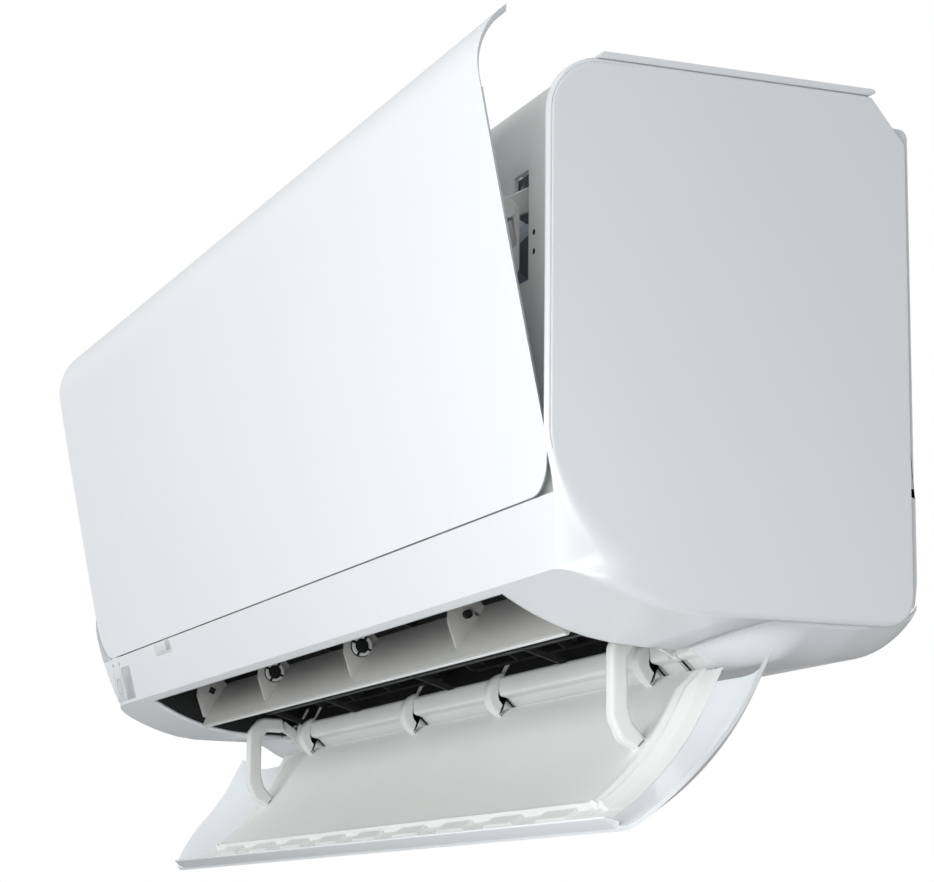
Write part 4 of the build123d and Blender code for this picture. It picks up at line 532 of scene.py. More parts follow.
def dress_cad_nodes() -> None:
    """Every carried-over CAD node gets the node material of its real finish."""
    for name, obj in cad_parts.items():
        obj.data.materials.clear()
        obj.data.materials.append(CAD_FINISH.get(name, DUCT_BLACK).material())


def soften(obj: bpy.types.Object, width: float, segments: int = 2, angle: float = 30.0) -> None:
    """Rounds the edges of a piece that turn by more than an angle.

    Args:
        obj: the piece.
        width: width of the rounding in mm.
        segments: facets across it.
        angle: smallest turn in degrees that is rounded.
    """
    mod = obj.modifiers.new("edge_rounding", "BEVEL")
    mod.width = width * MM
    mod.segments = segments
    mod.limit_method = "ANGLE"
    mod.angle_limit = math.radians(angle)
    mod.miter_outer = "MITER_ARC"


def merged(obj: bpy.types.Object, sharp: float = 35.0) -> None:
    """Joins the points that patches share and turns the open skin's faces outwards.

    Args:
        obj: the piece.
        sharp: edges that turn by more than this many degrees stay sharp.
    """
    work = bmesh.new()
    work.from_mesh(obj.data)
    bmesh.ops.remove_doubles(work, verts=work.verts, dist=0.02 * MM)
    bmesh.ops.recalc_face_normals(work, faces=work.faces)
    face = max(work.faces, key=lambda f: f.calc_center_median().x)
    if face.normal.x < 0:
        bmesh.ops.reverse_faces(work, faces=work.faces)
    work.to_mesh(obj.data)
    work.free()
    obj.data.set_sharp_from_angle(angle=math.radians(sharp))
    obj.data.update()


def pierced(outer: Array, holes: Sequence[Array], x0: float, x1: float, edge: float = 0.4,
            steps: int = 2) -> tuple:
    """Side-view outline with holes, carried along X, its outer end edges rounded.

    Args:
        outer: closed outline of (y, z) in mm.
        holes: closed outlines inside it.
        x0: first end in mm.
        x1: second end in mm.
        edge: radius of the outer end edges.
        steps: rings on each rounding.

    Returns:
        (points, quads, caps): the walls of bar() and of each hole, with triangulated ends.
    """
    pts = bar(outer, x0, x1, edge, steps)[0]
    rows = 2 * (steps + 1)
    n = len(outer)
    quads = grid_quads(rows, n, wrap_cols=True)
    blocks, base = [pts], len(pts)
    loops = [[np.arange(n)], [np.arange(n) + (rows - 1) * n]]
    for hole in holes:
        h = hole[::-1] if area_2d(np.asarray(hole)) < 0 else np.asarray(hole)
        m = len(h)
        ring = np.stack([np.broadcast_to(x0, m), h[:, 0], h[:, 1]], axis=-1).astype(float)
        far = ring.copy()
        far[:, 0] = x1
        blocks += [ring, far]
        quads = np.concatenate([quads, grid_quads(2, m, wrap_cols=True, start=base)[:, ::-1]])
        loops[0].append(np.arange(m) + base)
        loops[1].append(np.arange(m) + base + m)
        base += 2 * m
    points = np.concatenate(blocks)
    order = np.concatenate(loops[0])
    far_order = np.concatenate(loops[1])
    outline = [[Vector((0.0, *points[i, 1:])) for i in loop] for loop in loops[0]]
    tris = np.array(tessellate_polygon(outline))
    caps = [list(t) for t in order[tris].tolist()]
    ends = [list(t[::-1]) for t in far_order[tris].tolist()]
    # walls are turned away from the middle of the first end, and each end away from the other
    a, b = points[quads[0][0]], points[quads[0][1]]
    sample = np.cross(b - a, points[quads[0][3]] - a)
    if float(sample @ (a - points[:n].mean(axis=0))) < 0:
        quads = quads[:, ::-1]
    t = caps[0]
    face = np.cross(points[t[1]] - points[t[0]], points[t[2]] - points[t[0]])
    if face[0] * (x0 - x1) < 0:
        caps = [c[::-1] for c in caps]
        ends = [c[::-1] for c in ends]
    return points, quads, caps + ends


def nearest(points: Array, line: Array) -> Array:
    """Distance from points to a polyline, with the values that the polyline carries there.

    Args:
        points: (n, 2) points.
        line: (m, 2 + k) vertices followed by the values they carry.

    Returns:
        (n, 1 + k) distances, then the values interpolated at the nearest places.
    """
    a, b = line[:-1], line[1:]
    d = (b - a)[:, :2]
    rel = points[:, None] - a[None, :, :2]
    t = np.clip((rel * d).sum(-1) / np.maximum((d ** 2).sum(-1), 1e-9), 0, 1)
    gap = np.linalg.norm(rel - t[..., None] * d, axis=-1)
    k = np.argmin(gap, axis=1)
    i = np.arange(len(points))
    tt = t[i, k][:, None]
    return np.hstack([gap[i, k][:, None], a[k, 2:] * (1 - tt) + b[k, 2:] * tt])


def roll_in(gap: Array, radius: Array) -> Array:
    """How far a rounded edge falls away: R - sqrt(R^2 - (R - gap)^2) within R of it, else 0."""
    inside = np.clip(radius - gap, 0, radius)
    return radius - np.sqrt(np.maximum(radius ** 2 - inside ** 2, 0))


def smoothstep(t: Array) -> Array:
    """3 t^2 - 2 t^3 of a share held between 0 and 1."""
    t = np.clip(t, 0, 1)
    return t * t * (3 - 2 * t)


def near_side(circle: Sequence[float], at: Array) -> Array:
    """Near side of a circle (base, middle, R): base - sqrt(R^2 - (at - middle)^2), or base past it."""
    base, middle, radius = circle
    return base - np.sqrt(np.maximum(radius ** 2 - (at - middle) ** 2, 0))


def length_along(line: Array) -> Array:
    """Running length of a polyline from its first point."""
    return np.concatenate([[0], np.cumsum(np.linalg.norm(np.diff(line, axis=0), axis=1))])


# ------------------------------------------------------------------ casing
@dataclass
class Casing:
    """Front casing: side faces, lower strip and ends, rims, and the frame behind the panel."""
    half: float = 445.0
    front: float = -207.3
    back: float = -6.5
    top: float = 143.5
    low: tuple = (-191.4, -109.8)
    strip_top_z: float = -75.5
    slope: float = 0.268
    # circles as (base, middle, radius), see near_side
    turn: tuple = (-167.3, -45.2, 40.0)
    brow: tuple = (-177.3, 113.5, 30.0)
    belly: tuple = (8.0, -115.08, 140.0)
    heel: tuple = (-117.0, -21.5, 15.0)
    pocket_brow: tuple = (-177.3, 126.7, 16.8)
    turn_z: float = -55.6
    foot_y: float = -182.55
    foot_slope: float = 0.55
    foot_z: float = -132.0
    chamfer_y: float = -26.0
    back_top: float = 119.0
    edge_r: float = 3.2
    # growth of the corner's radius, the Z that it starts at, the run down and the power
    corner_grows: tuple = (27.2, -58.0, 52.0, 1.9)
    # depth, place behind the front edge and width
    groove: tuple = (0.7, 2.4, 0.28)
    floor_y: float = -194.1
    wall: float = 2.4
    frame_wall: float = 2.5
    outlet_half: float = 340.0
    hinge_y: float = -84.0
    # half width, lowest and highest Z
    window: tuple = (338.0, -51.5, 120.0)
    window_r: float = 12.0
    rib_half: float = 2.0
    rib_z: tuple = (5.67, 62.83)
    # middle, half width, lowest and highest Z
    crank_slot: tuple = (380.0, 9.7, 41.0, 99.0)
    hinge_slot: tuple = (400.0, 4.5, -74.6, -53.0)
    edge_line: tuple = ((-191.4, -109.8), (-180, -116.5), (-166, -123.5), (-155, -127.9),
                        (-144, -131.2), (-132, -133.6), (-115, -135.5), (-98, -136.4), (-80.7, -136.9))
    # columns behind the front edge in mm, dense round the groove, then on to the back
    lip_rows: tuple = (0, .03, .1, .22, .4, .65, 1, 1.4, 1.8, 2.05, 2.25, 2.4, 2.55, 2.75, 3, 3.6)
    across: tuple = (4.5, 6, 8, 10.5, 13.5, 17, 21, 26, 32, 40, 52, 68, 88, 110, 132, 150, 164, 174,
                     180, 184.5, 188, 192, 195, 197, 198.5, 199.4, 199.9, 200.3, 200.6, 200.8)

    def front_line(self, z: Array) -> Array:
        """Y of the front edge: the sloped strip, an R40 turn, the upright and the R30 brow."""
        z = np.asarray(z, float)
        strip = self.low[0] - self.slope * (z - self.low[1])
        y = np.where(z < self.turn[1], near_side(self.turn, z), self.front)
        y = np.where(z < self.turn_z, strip, y)
        return np.where(z > self.brow[1], near_side(self.brow, z), y)

    def foot_line(self, y: Array) -> Array:
        """Z of the lower edge: level at the strip, then the slope, the R140 belly and the R15 heel."""
        y = np.asarray(y, float)
        slope = self.low[1] - self.foot_slope * (y - self.low[0])
        z = np.where(y < self.belly[1], near_side(self.belly, y), self.foot_z)
        z = np.where(y < self.foot_y, slope, z)
        z = np.where(y < self.low[0], self.low[1], z)
        return np.where(y > self.heel[1], near_side(self.heel, y), z)

    def top_line(self, y: Array) -> Array:
        """Z of the upper edge: level, then the rear chamfer down to back_top."""
        run = np.clip(np.asarray(y) - self.chamfer_y, 0, None)
        return self.top - run * (self.top - self.back_top) / (self.back - self.chamfer_y)

    def corner_radius(self, z: Array) -> Array:
        """Plan radius of the front corner: 3.2 mm above, growing as a power of the way down."""
        more, start, run, power = self.corner_grows
        return self.edge_r + more * np.clip((start - np.asarray(z, float)) / run, 0, 1) ** power

    def share_rows(self) -> Array:
        """Shares of the height at which the side face has its rows, dense where it turns."""
        height = self.top - self.low[1]
        strip = (self.strip_top_z - self.low[1]) / height
        low = np.array([0, .0012, .003, .006, .0095, .014, .02, .027, .035, .044, .054, .065, .077,
                        .09, .104, .119, strip, .15, .165, .18, .197, .2135, .235, .26, .31, .38,
                        .46, .54, .62, .70, .77, .83])
        arc_z = self.brow[1] + self.brow[2] * np.sin(np.radians(np.arange(0, 62, 6)))
        high = (arc_z - self.low[1]) / height
        lip = 1 - np.array(self.lip_rows[::-1]) / height
        return np.concatenate([low, high, lip[lip > high[-1] + 1e-4]])

    def side_grid(self) -> Array:
        """Right side face as a grid over the side view.

        Returns:
            (columns, rows, 3) points. Y runs from the front line to the back, Z from the foot line to
            the top line, and X is the half width less the roll-in of the front and lower edges,
            joined by a fourth-power norm, less a fine groove 2.4 mm behind the front edge.
        """
        depth = self.back - self.front
        p = np.array(self.lip_rows + self.across)[:, None] / depth
        q = self.share_rows()[None, :]
        y = np.broadcast_to(self.front + p * depth, (p.shape[0], q.shape[1])).copy()
        z = self.foot_line(y) + q * (self.top_line(y) - self.foot_line(y))
        for _ in range(12):  # y and z depend on each other's edge lines, and settle in a few rounds
            edge = self.front_line(z)
            y = edge + p * (self.back - edge)
            foot = self.foot_line(y)
            z = foot + q * (self.top_line(y) - foot)
        middle, radius = self.brow[1:]
        zs = np.concatenate([np.linspace(self.low[1], middle, 150),
                             middle + radius * np.sin(np.radians(np.linspace(2, 90, 30)))])
        upright = np.stack([self.front_line(zs), zs, self.corner_radius(zs),
                            smoothstep((zs - self.corner_grows[1]) / 6)], axis=1)
        rest = np.array([(-150.0, self.top, 3.0, 0.0), (-30.0, self.top, 3.0, 0.0),
                         (self.chamfer_y, self.top, 2.0, 0.0), (self.back, self.back_top, 1.2, 0.0),
                         (self.back, self.heel[0], 1.0, 0.0)])
        ys = np.linspace(self.low[0], self.back, 160)
        ease = 2.5 + 6.0 * (1 - smoothstep((ys + 172) / 42)) - 1.4 * smoothstep((ys + 21) / 12)
        belly = np.stack([ys, self.foot_line(ys), ease], axis=1)
        flat = np.stack([y.ravel(), z.ravel()], axis=1)
        a = nearest(flat, np.concatenate([upright, rest]))
        b = nearest(flat, belly)
        fall = (roll_in(a[:, 0], a[:, 1]) ** 4 + roll_in(b[:, 0], b[:, 1]) ** 4) ** 0.25
        deep, behind, width = self.groove
        fall += deep * a[:, 2] * np.exp(-((a[:, 0] - behind) / width) ** 2)
        return np.stack([self.half - fall.reshape(y.shape), y, z], axis=-1)

    def edge_z(self, y: Array) -> Array:
        """Z of the outlet's end edge: a fourth-degree curve fitted to its measured places."""
        line = np.array(self.edge_line)
        fit = np.polyfit((line[:, 0] + 136) / 56, line[:, 1], 4)
        return np.polyval(fit, (np.asarray(y) + 136) / 56)

    def belly_grid(self, side: Array) -> Array:
        """Lower end between the outlet and the side face's foot.

        Args:
            side: the side face's grid.

        Returns:
            (rows, columns, 3) points: X runs from the outlet's end to the side face, and Z leaves the
            outlet's edge line as (1 - t)^1.7 of the difference to the foot.
        """
        foot = side[:, 0]
        foot = foot[foot[:, 1] < self.hinge_y + 3]
        even = np.linspace(0, 1, 22)[None, :]
        t = (smoothstep(even) + even) / 2
        x = self.outlet_half + t * (foot[:, 0:1] - self.outlet_half)
        y = np.broadcast_to(foot[:, 1:2], x.shape)
        edge = self.edge_z(foot[:, 1:2])
        edge[0] = self.low[1]
        z = foot[:, 2:3] + (edge - foot[:, 2:3]) * (1 - t) ** 1.7
        return np.stack([x, y, z], axis=-1)

    def rim_grid(self, side: Array) -> Array:
        """Inner side of the rim beside the panel, between the front edge and the pocket's floor."""
        edge = side[0][side[0][:, 2] >= self.strip_top_z - 0.01]
        z = edge[:, 2]
        (base, middle, _), (_, inner_middle, inner_r) = self.brow, self.pocket_brow
        angle = np.arctan2(z - middle, base - edge[:, 1])
        grow = (inner_middle - self.strip_top_z) / (middle - self.strip_top_z)
        inner_z = np.where(z < middle, self.strip_top_z + (z - self.strip_top_z) * grow,
                           inner_middle + inner_r * np.sin(angle))
        inner_y = np.where(z < middle, self.floor_y, base - inner_r * np.cos(angle))
        t = np.linspace(0, 1, 5)[:, None]
        y = edge[None, :, 1] * (1 - t) + inner_y[None, :] * t
        zz = z[None, :] * (1 - t) + inner_z[None, :] * t
        x = np.broadcast_to(edge[None, :, 0], y.shape)
        return np.stack([x, y, zz], axis=-1)

    def shell(self) -> tuple:
        """All outer patches as one open skin whose borders share their points."""
        side = self.side_grid()
        parts = []

        def patch(grid: Array, flip: bool = False) -> None:
            """Adds a grid's quads, turned over where asked."""
            quads = grid_quads(*grid.shape[:2])
            parts.append((grid.reshape(-1, 3), quads if flip else quads[:, ::-1], []))
        mirror = np.array([-1.0, 1.0, 1.0])
        belly, rim = self.belly_grid(side), self.rim_grid(side)
        for sign, flip in ((np.ones(3), False), (mirror, True)):
            patch(side * sign, flip)
            patch(belly * sign, flip)
            patch(rim * sign, not flip)
        edge = side[0][side[0][:, 2] <= self.strip_top_z + 0.01]
        mouth = np.linspace(-self.outlet_half, self.outlet_half, 41)
        ends = belly[0, :, 0]
        columns = np.concatenate([-ends[:0:-1], mouth, ends[1:]])
        t = (columns / ends[-1])[:, None]
        strip = np.stack(np.broadcast_arrays(t * edge[None, :, 0], edge[:, 1], edge[:, 2]), axis=-1)
        patch(strip, True)
        top = strip[:, -1]
        ledge = np.stack([top, top * [1, 0, 1] + [0, self.floor_y, 0]], axis=1)
        patch(ledge, True)
        ys = belly[:, 0, 1]
        ys = ys[ys < -185.0]
        x = mouth[:, None]
        z = self.edge_z(ys)
        z[0] = self.low[1]
        lip = np.stack(np.broadcast_arrays(x, ys, z), axis=-1)
        patch(lip)
        return joined(parts)

    def frame_plate(self) -> tuple:
        """Frame behind the panel, over the brow and the top, as a pierced plate.

        Returns:
            (points, quads, []): a profile up the pocket's floor, round R16.8, along the top and
            down the rear chamfer, carried along X, without its window, slots and top inlet.
        """
        brow = arc(self.pocket_brow[:2], self.pocket_brow[2], 180, 90, 10)
        line = np.concatenate([[(self.floor_y, self.strip_top_z)], brow,
                               [(self.chamfer_y, self.top), (-9.8, 123.2)]])
        s = length_along(line)

        def at(v: Array) -> tuple:
            """Y and Z at a length along the profile."""
            return np.interp(v, s, line[:, 0]), np.interp(v, s, line[:, 1])
        fine = np.linspace(0, s[-1], 900)
        fy, fz = at(fine)
        ny, nz = np.gradient(fz, fine), -np.gradient(fy, fine)

        def place(u: Array, v: Array, depth: float) -> Array:
            """Points on the profile at a depth along its inward normal."""
            y, z = at(v)
            return np.stack([u, y + depth * np.interp(v, fine, ny),
                             z + depth * np.interp(v, fine, nz)], axis=-1)
        wide, low, high = self.window
        bay = wide / 3
        ribs = [sgn * k * bay + e for k in (0, 1, 2) for sgn in (-1, 1)
                for e in (-self.rib_half, self.rib_half)]
        crank_x, crank_half = self.crank_slot[:2]
        hinge_x, hinge_half = self.hinge_slot[:2]
        outer = [crank_x - crank_half, crank_x + crank_half, hinge_x - hinge_half,
                 hinge_x + hinge_half, hinge_x, 420, 441.8]
        us = np.unique(np.round(np.concatenate([
            ribs, [-wide, wide], outer, np.negative(outer), np.linspace(-330, 330, 23)]), 3))
        zs = np.array([self.strip_top_z, -74.6, -65, -53, low, -30, -10, 3.67, 7.67, 25, 41, 60.8,
                       64.8, 80, 99, 110, high])
        top_s = s[-3] + np.array([0, 12.3, 60, 100, 135.3, 140])
        vs = np.unique(np.round(np.concatenate([zs - self.strip_top_z, s[1:-2], top_s, s[-2:]]), 3))

        def in_slot(a: Array, z: Array, slot: tuple) -> Array:
            """Which cells lie in a slot given as (middle, half width, lowest, highest)."""
            return (np.abs(a - slot[0]) < slot[1]) & (z > slot[2]) & (z < slot[3])

        def open_at(u: Array, v: Array) -> Array:
            """Cells of the window between its ribs, of the drive slots and of the top inlet."""
            y, z = at(v)
            a = np.abs(u)
            floor = y < self.floor_y + 0.1
            rib = np.abs(u - np.round(u / bay) * bay) < self.rib_half
            for rib_z in self.rib_z:
                rib = rib | (np.abs(z - rib_z) < self.rib_half)
            window = (a < wide) & (z > low) & (z < high) & ~rib
            slots = in_slot(a, z, self.crank_slot) | in_slot(a, z, self.hinge_slot)
            inlet = (z > self.top - 0.1) & (a < 400) & (y > -165) & (y < -42)
            return floor & (window | slots) | inlet
        return masked_plate(us, vs, open_at, place, self.frame_wall)

    def window_corners(self) -> tuple:
        """Fillets in the corners of the inlet window: a corner less a quarter circle of R12."""
        parts = []
        (wide, low, high), r = self.window, self.window_r
        a = np.radians(np.linspace(180, 270, 9))
        for sx in (-1, 1):
            for z, sz in ((low, 1), (high, -1)):
                x = np.append(wide - r - r * np.cos(a), wide + 0.5) * sx
                zz = np.append(z + sz * (r + r * np.sin(a)), z - 0.5 * sz)
                ring = np.stack([x, np.full(10, self.floor_y), zz], axis=-1)
                parts.append(rings_solid(np.stack([ring, ring + [0, self.frame_wall, 0]])))
        return joined(parts)

    def build(self) -> list:
        """Meshes of the casing, dressed and riding on the unit."""
        shell = build("casing_shell", self.shell())
        merged(shell, 40.0)
        wall = shell.modifiers.new("moulded_wall", "SOLIDIFY")
        wall.thickness, wall.offset, wall.thickness_clamp = self.wall * MM, -1.0, 1.0
        inner = build("casing_frame", joined([self.frame_plate(), self.window_corners()]))
        soften(inner, 0.5)
        dress(shell, GLOSS_ABS, "unit")
        dress(inner, INNER_WHITE, "unit")
        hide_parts("front_casing")
        # Thin black discs on the frame's floor, not holes through it: painted shade where two small
        # holes at each end look dark inside.
        disc = np.array([(0, 0.01), (0, 1.6), (0.06, 1.6), (0.06, 0.01)])
        pts, quads, caps = lathe(disc, (0, 0), 20)
        hole_shade_spots = []
        for x, z in ((397, 64), (397, 54), (-397, 64), (-397, 54)):
            moved = np.stack([pts[:, 1] + x, self.floor_y - pts[:, 0], pts[:, 2] + z], axis=-1)
            hole_shade_spots.append((moved, *outward(moved, quads, caps)))
        holes = build("frame_hole_shade", joined(hole_shade_spots))
        dress(holes, DUCT_BLACK, "unit")
        return [shell, inner, holes]


@dataclass
class TopPlate:
    """Thin lid over the top with two rows of air slots and a pointed rear edge."""
    half: float = 445.0
    top: float = 147.0
    thick: float = 3.5
    front: float = -180.3
    pitch: float = 17.5
    slit: float = 9.0
    reach: int = 22
    rows: tuple = ((-160.0, -108.0), (-100.0, -48.0))

    def build(self) -> list:
        """Pierced plate whose front edge slopes and whose rear edge comes to a nose."""
        centres = np.arange(-self.reach, self.reach + 1) * self.pitch
        slits = (centres[:, None] + [-self.slit / 2, self.slit / 2]).ravel()
        us = np.concatenate([[-self.half, -425], slits, [425, self.half]])
        vs = np.array([self.front, -170, -160, -134, -108, -100, -74, -48, -35, -25])

        def open_at(u: Array, v: Array) -> Array:
            """Cells of both rows of air slots."""
            k = np.abs(u - np.round(u / self.pitch) * self.pitch) < self.slit / 2
            rows = [(v > a) & (v < b) for a, b in self.rows]
            return k & (np.abs(u) < self.reach * self.pitch + self.slit) & (rows[0] | rows[1])

        def place(u: Array, v: Array, depth: float) -> Array:
            """Points of the lid at a depth, with its sloped front and rear edges."""
            share = depth / self.thick
            y = np.where(v > -26, -25 - 2 * share, v)
            y = np.where(v < -180, self.front + 3.0 * (1 - share), y)
            return np.stack([u, y, np.full(u.shape, self.top - depth)], axis=-1)
        plate = masked_plate(us, vs, open_at, place, self.thick)
        profile = np.array([(-25.4, 147.0), (-24.4, 146.9), (-23.4, 146.2), (-23.0, 145.4),
                            (-23.8, 144.7), (-27.0, 143.5)])
        nose = bar(profile, -self.half, self.half, 0.6)
        lid = build("top_plate", plate)
        soften(lid, 0.6)
        tip = build("top_plate_nose", nose)
        dress(lid, GLOSS_ABS, "unit")
        dress(tip, GLOSS_ABS, "unit")
        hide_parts("top_grille")
        return [lid, tip]


@dataclass
class Chassis:
    """Rear chassis: crowned underside, outlet lip, air guide, duct sides, back wall and end flanges."""
    half: float = 441.3
    duct_half: float = 341.0
    level: float = -147.0
    crown: float = 13.0
    crown_run: float = 45.0
    fan: tuple = (-98.0, -42.0)
    scroll_r: float = 57.0
    lip: tuple = (-80.0, -128.3)
    pivots: tuple = (-322.0, -290.0, -75.0, 75.0, 290.0, 322.0)
    notch: float = 5.3
    # share of the air guide's straight run that is left out at a notch
    notch_cut: float = 0.232
    lip_half: float = 344.5
    lip_back: float = -61.8
    back_y: float = -9.2
    casing: Casing = field(default_factory=Casing)

    def pan_level(self, x: Array, y: Array) -> Array:
        """Z of the underside.

        Args:
            x: places along the width in mm.
            y: places towards the wall in mm.

        Returns:
            The pan's level plus the crown's arc near both ends, a 9 degree rise behind y = -38 and a
            round heel at the wall, blended over 22 mm into the casing's belly in front.
        """
        over = np.clip(np.abs(x) - (self.half - self.crown_run), 0, self.crown_run)
        r = (self.crown_run ** 2 + self.crown ** 2) / (2 * self.crown)
        z = self.level + r - np.sqrt(r * r - over ** 2)
        z = z + np.clip(y + 38, 0, None) * math.tan(math.radians(9.0))
        heel = np.clip((y + 15.0) / 12.0, 0, 0.998)
        z = z + 7.0 * (1 - np.sqrt(1 - heel ** 2))
        side = np.clip((self.casing.half - np.abs(x)) / 105.0, 0, 1) ** 1.7
        seam = self.casing.foot_line(np.minimum(y, -30)) * (1 - side)
        seam = seam + self.casing.edge_z(np.minimum(y, -84)) * side - 0.1
        return seam + (z - seam) * smoothstep((y + 83.4) / 22.0)

    def pan(self) -> tuple:
        """Underside as thin shells: the whole width behind the lip, and both ends beside it."""
        parts = []
        spans = [(-self.half, self.half, self.lip_back, -3.0)]
        spans += [(s * self.lip_half, s * self.half, -83.4, self.lip_back) for s in (-1, 1)]
        for x0, x1, y0, y1 in spans:
            x = x0 + (x1 - x0) * (0.5 - 0.5 * np.cos(np.linspace(0, math.pi, 91)))
            y = np.linspace(y0, y1, 25)
            gx, gy = np.meshgrid(x, y, indexing="ij")
            z = self.pan_level(gx, gy)
            parts.append(sheet_solid(np.stack([gx, gy, z], -1), np.stack([gx, gy, z + 2.2], -1)))
        return joined(parts)

    def notch_marks(self) -> list:
        """Both sides of every notch along X, from left to right."""
        return [p + e for p in self.pivots for e in (-self.notch, self.notch)]

    def lip_band(self) -> tuple:
        """Outlet lip: its rounded side-view line carried along X, with a notch at each pivot."""
        line = rounded([(-76.4, -128.5), (-80.0, -128.3), (-80.0, -137.5), (-74.5, -138.6),
                        (-65.5, self.level), (self.lip_back, self.level)],
                       [0, 1.2, 1.0, 1.5, 2.0, 0], closed=False, count=5)
        s = length_along(line)
        nrm = normals_2d(line, closed=False)
        us = np.unique(np.concatenate([[-self.lip_half, self.lip_half], np.linspace(-340, 340, 35),
                                       self.notch_marks()]))

        def place(u: Array, v: Array, depth: float) -> Array:
            """Points on the lip's line at a depth along its normal."""
            y = np.interp(v, s, line[:, 0]) - depth * np.interp(v, s, nrm[:, 0])
            z = np.interp(v, s, line[:, 1]) - depth * np.interp(v, s, nrm[:, 1])
            return np.stack([u, y, z], axis=-1)

        def open_at(u: Array, v: Array) -> Array:
            """Cells inside a notch."""
            return np.min(np.abs(u[..., None] - np.array(self.pivots)), axis=-1) < self.notch
        return masked_plate(us, s, open_at, place, -1.6)

    def notch_linings(self) -> tuple:
        """White cheeks, back and roof of each notch, where the hooks and arms pass to their pins."""
        side = [(-78.6, -128.6), (-78.6, -136.6), (-73.6, -137.6), (-66.0, -144.8), (-62.0, -144.8),
                (-62.0, -113.8), (-71.0, -113.8)]
        back = [(-62.0, -146.4), (-62.0, -113.8), (-61.6, -113.8), (-61.6, -146.4)]
        roof = [(-71.2, -114.3), (-62.0, -114.3), (-62.0, -113.8), (-70.9, -113.8)]
        near, far = self.notch - 0.2, self.notch + 0.5
        spans = ((side, -far, -near), (side, near, far), (back, -self.notch, self.notch),
                 (roof, -self.notch, self.notch))
        return joined([bar(np.array(wall), x + x0, x + x1, 0.05, 1)
                       for x in self.pivots for wall, x0, x1 in spans])

    def guide(self) -> tuple:
        """Air guide: straight from the lip, then an arc round the fan, cut short at each notch."""
        end = np.array(self.lip) + [0.6, 0.4]
        inner = arc(self.fan, self.scroll_r, -28.5, 70, 40)
        outer = arc(self.fan, self.scroll_r + 2.5, 70, -28.5, 40)
        edges = [-self.duct_half, *self.notch_marks(), self.duct_half]
        parts = []
        for k, (x0, x1) in enumerate(zip(edges, edges[1:])):  # every second span is a notch
            start = end + (self.notch_cut if k % 2 else 0.0) * (inner[0] - end)
            loop = np.concatenate([[start], inner, outer, [start + [2.6, -1.4]]])
            parts.append(bar(loop, x0, x1, 0.05, 1))
        return joined(parts)

    def cheeks(self) -> tuple:
        """Dark sides of the duct, whose lower edge stays inside the casing's belly."""
        y = np.linspace(-183.0, -84.0, 20)
        belly = np.stack([y, self.casing.edge_z(y) + 3.0], axis=1)
        loop = np.concatenate([belly, [(-77.5, -133.0), (-77.5, -128.0), (-46.0, -70.0),
                                       (-42.0, -40.0), (-60.0, 12.0), (-150.0, 20.0),
                                       (-186.0, -40.0), (-186.5, -100.0)]])
        part = bar(loop, self.duct_half, self.duct_half + 3.0, 0.1, 1)
        return joined([part, mirror_x(part)])

    def back_wall(self) -> tuple:
        """Back wall with its two hook slots, and the channel for the pipes below it."""
        us = np.array([-self.half, -300, -194, -166, -60, 60, 166, 194, 300, self.half])
        vs = np.array([-90.5, -40, 20, 96, 104, 115])

        def open_at(u: Array, v: Array) -> Array:
            """Cells of the two hook slots."""
            return (np.abs(np.abs(u) - 180) < 14) & (v > 96) & (v < 104)

        def place(u: Array, v: Array, depth: float) -> Array:
            """Points of the upright wall at a depth from its outer face."""
            return np.stack([u, np.full(u.shape, self.back_y + depth), v], axis=-1)
        parts = [masked_plate(us, vs, open_at, place, 2.5)]
        for x0, x1, low in ((-394, 394, -144.6), (-self.half, -394, -131.6), (394, self.half, -131.6)):
            channel = rounded([(-40.5, low), (-40.5, -88), (self.back_y, -88),
                               (self.back_y + 2.5, -90.5), (-38.0, -90.5), (-38.0, low)],
                              [0, 3, 0, 0, 1, 0])
            parts.append(bar(channel, x0, x1, 0.3))
        return joined(parts)

    def flanges(self) -> tuple:
        """End flanges that show behind the side faces: a rounded outline with its small notch."""
        loop = rounded([(-3.0, 128.5), (-20.0, 128.5), (-20.0, -100), (-12.0, -122), (-4.0, -122),
                        (-2.2, -108), (-2.2, -65.5), (-3.0, -64), (-5.5, -64), (-5.5, -61),
                        (-3.0, -61)],
                       [5, 4, 0, 0, 3, 4, 0.3, 0.3, 0.6, 0.6, 0.3])
        part = bar(loop, self.half - 4.0, self.half, 0.45, 3)
        return joined([part, mirror_x(part)])

    def build(self) -> list:
        """Meshes of the chassis in their finishes."""
        out = []
        for name, part, finish, slot in (
                ("chassis_pan", self.pan(), GLOSS_ABS, "white_matte"),
                ("chassis_lip", self.lip_band(), INNER_WHITE, "white_matte"),
                ("chassis_back", self.back_wall(), INNER_WHITE, "white_matte"),
                ("chassis_flanges", self.flanges(), GLOSS_ABS, "white_matte"),
                ("air_guide", self.guide(), DUCT_BLACK, "duct_black"),
                ("duct_cheeks", self.cheeks(), DUCT_BLACK, "duct_black"),
                ("notch_linings", self.notch_linings(), INNER_WHITE, "white_matte")):
            obj = build(name, part)
            dress(obj, finish, "unit")
            out.append(obj)
        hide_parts("chassis")
        return out


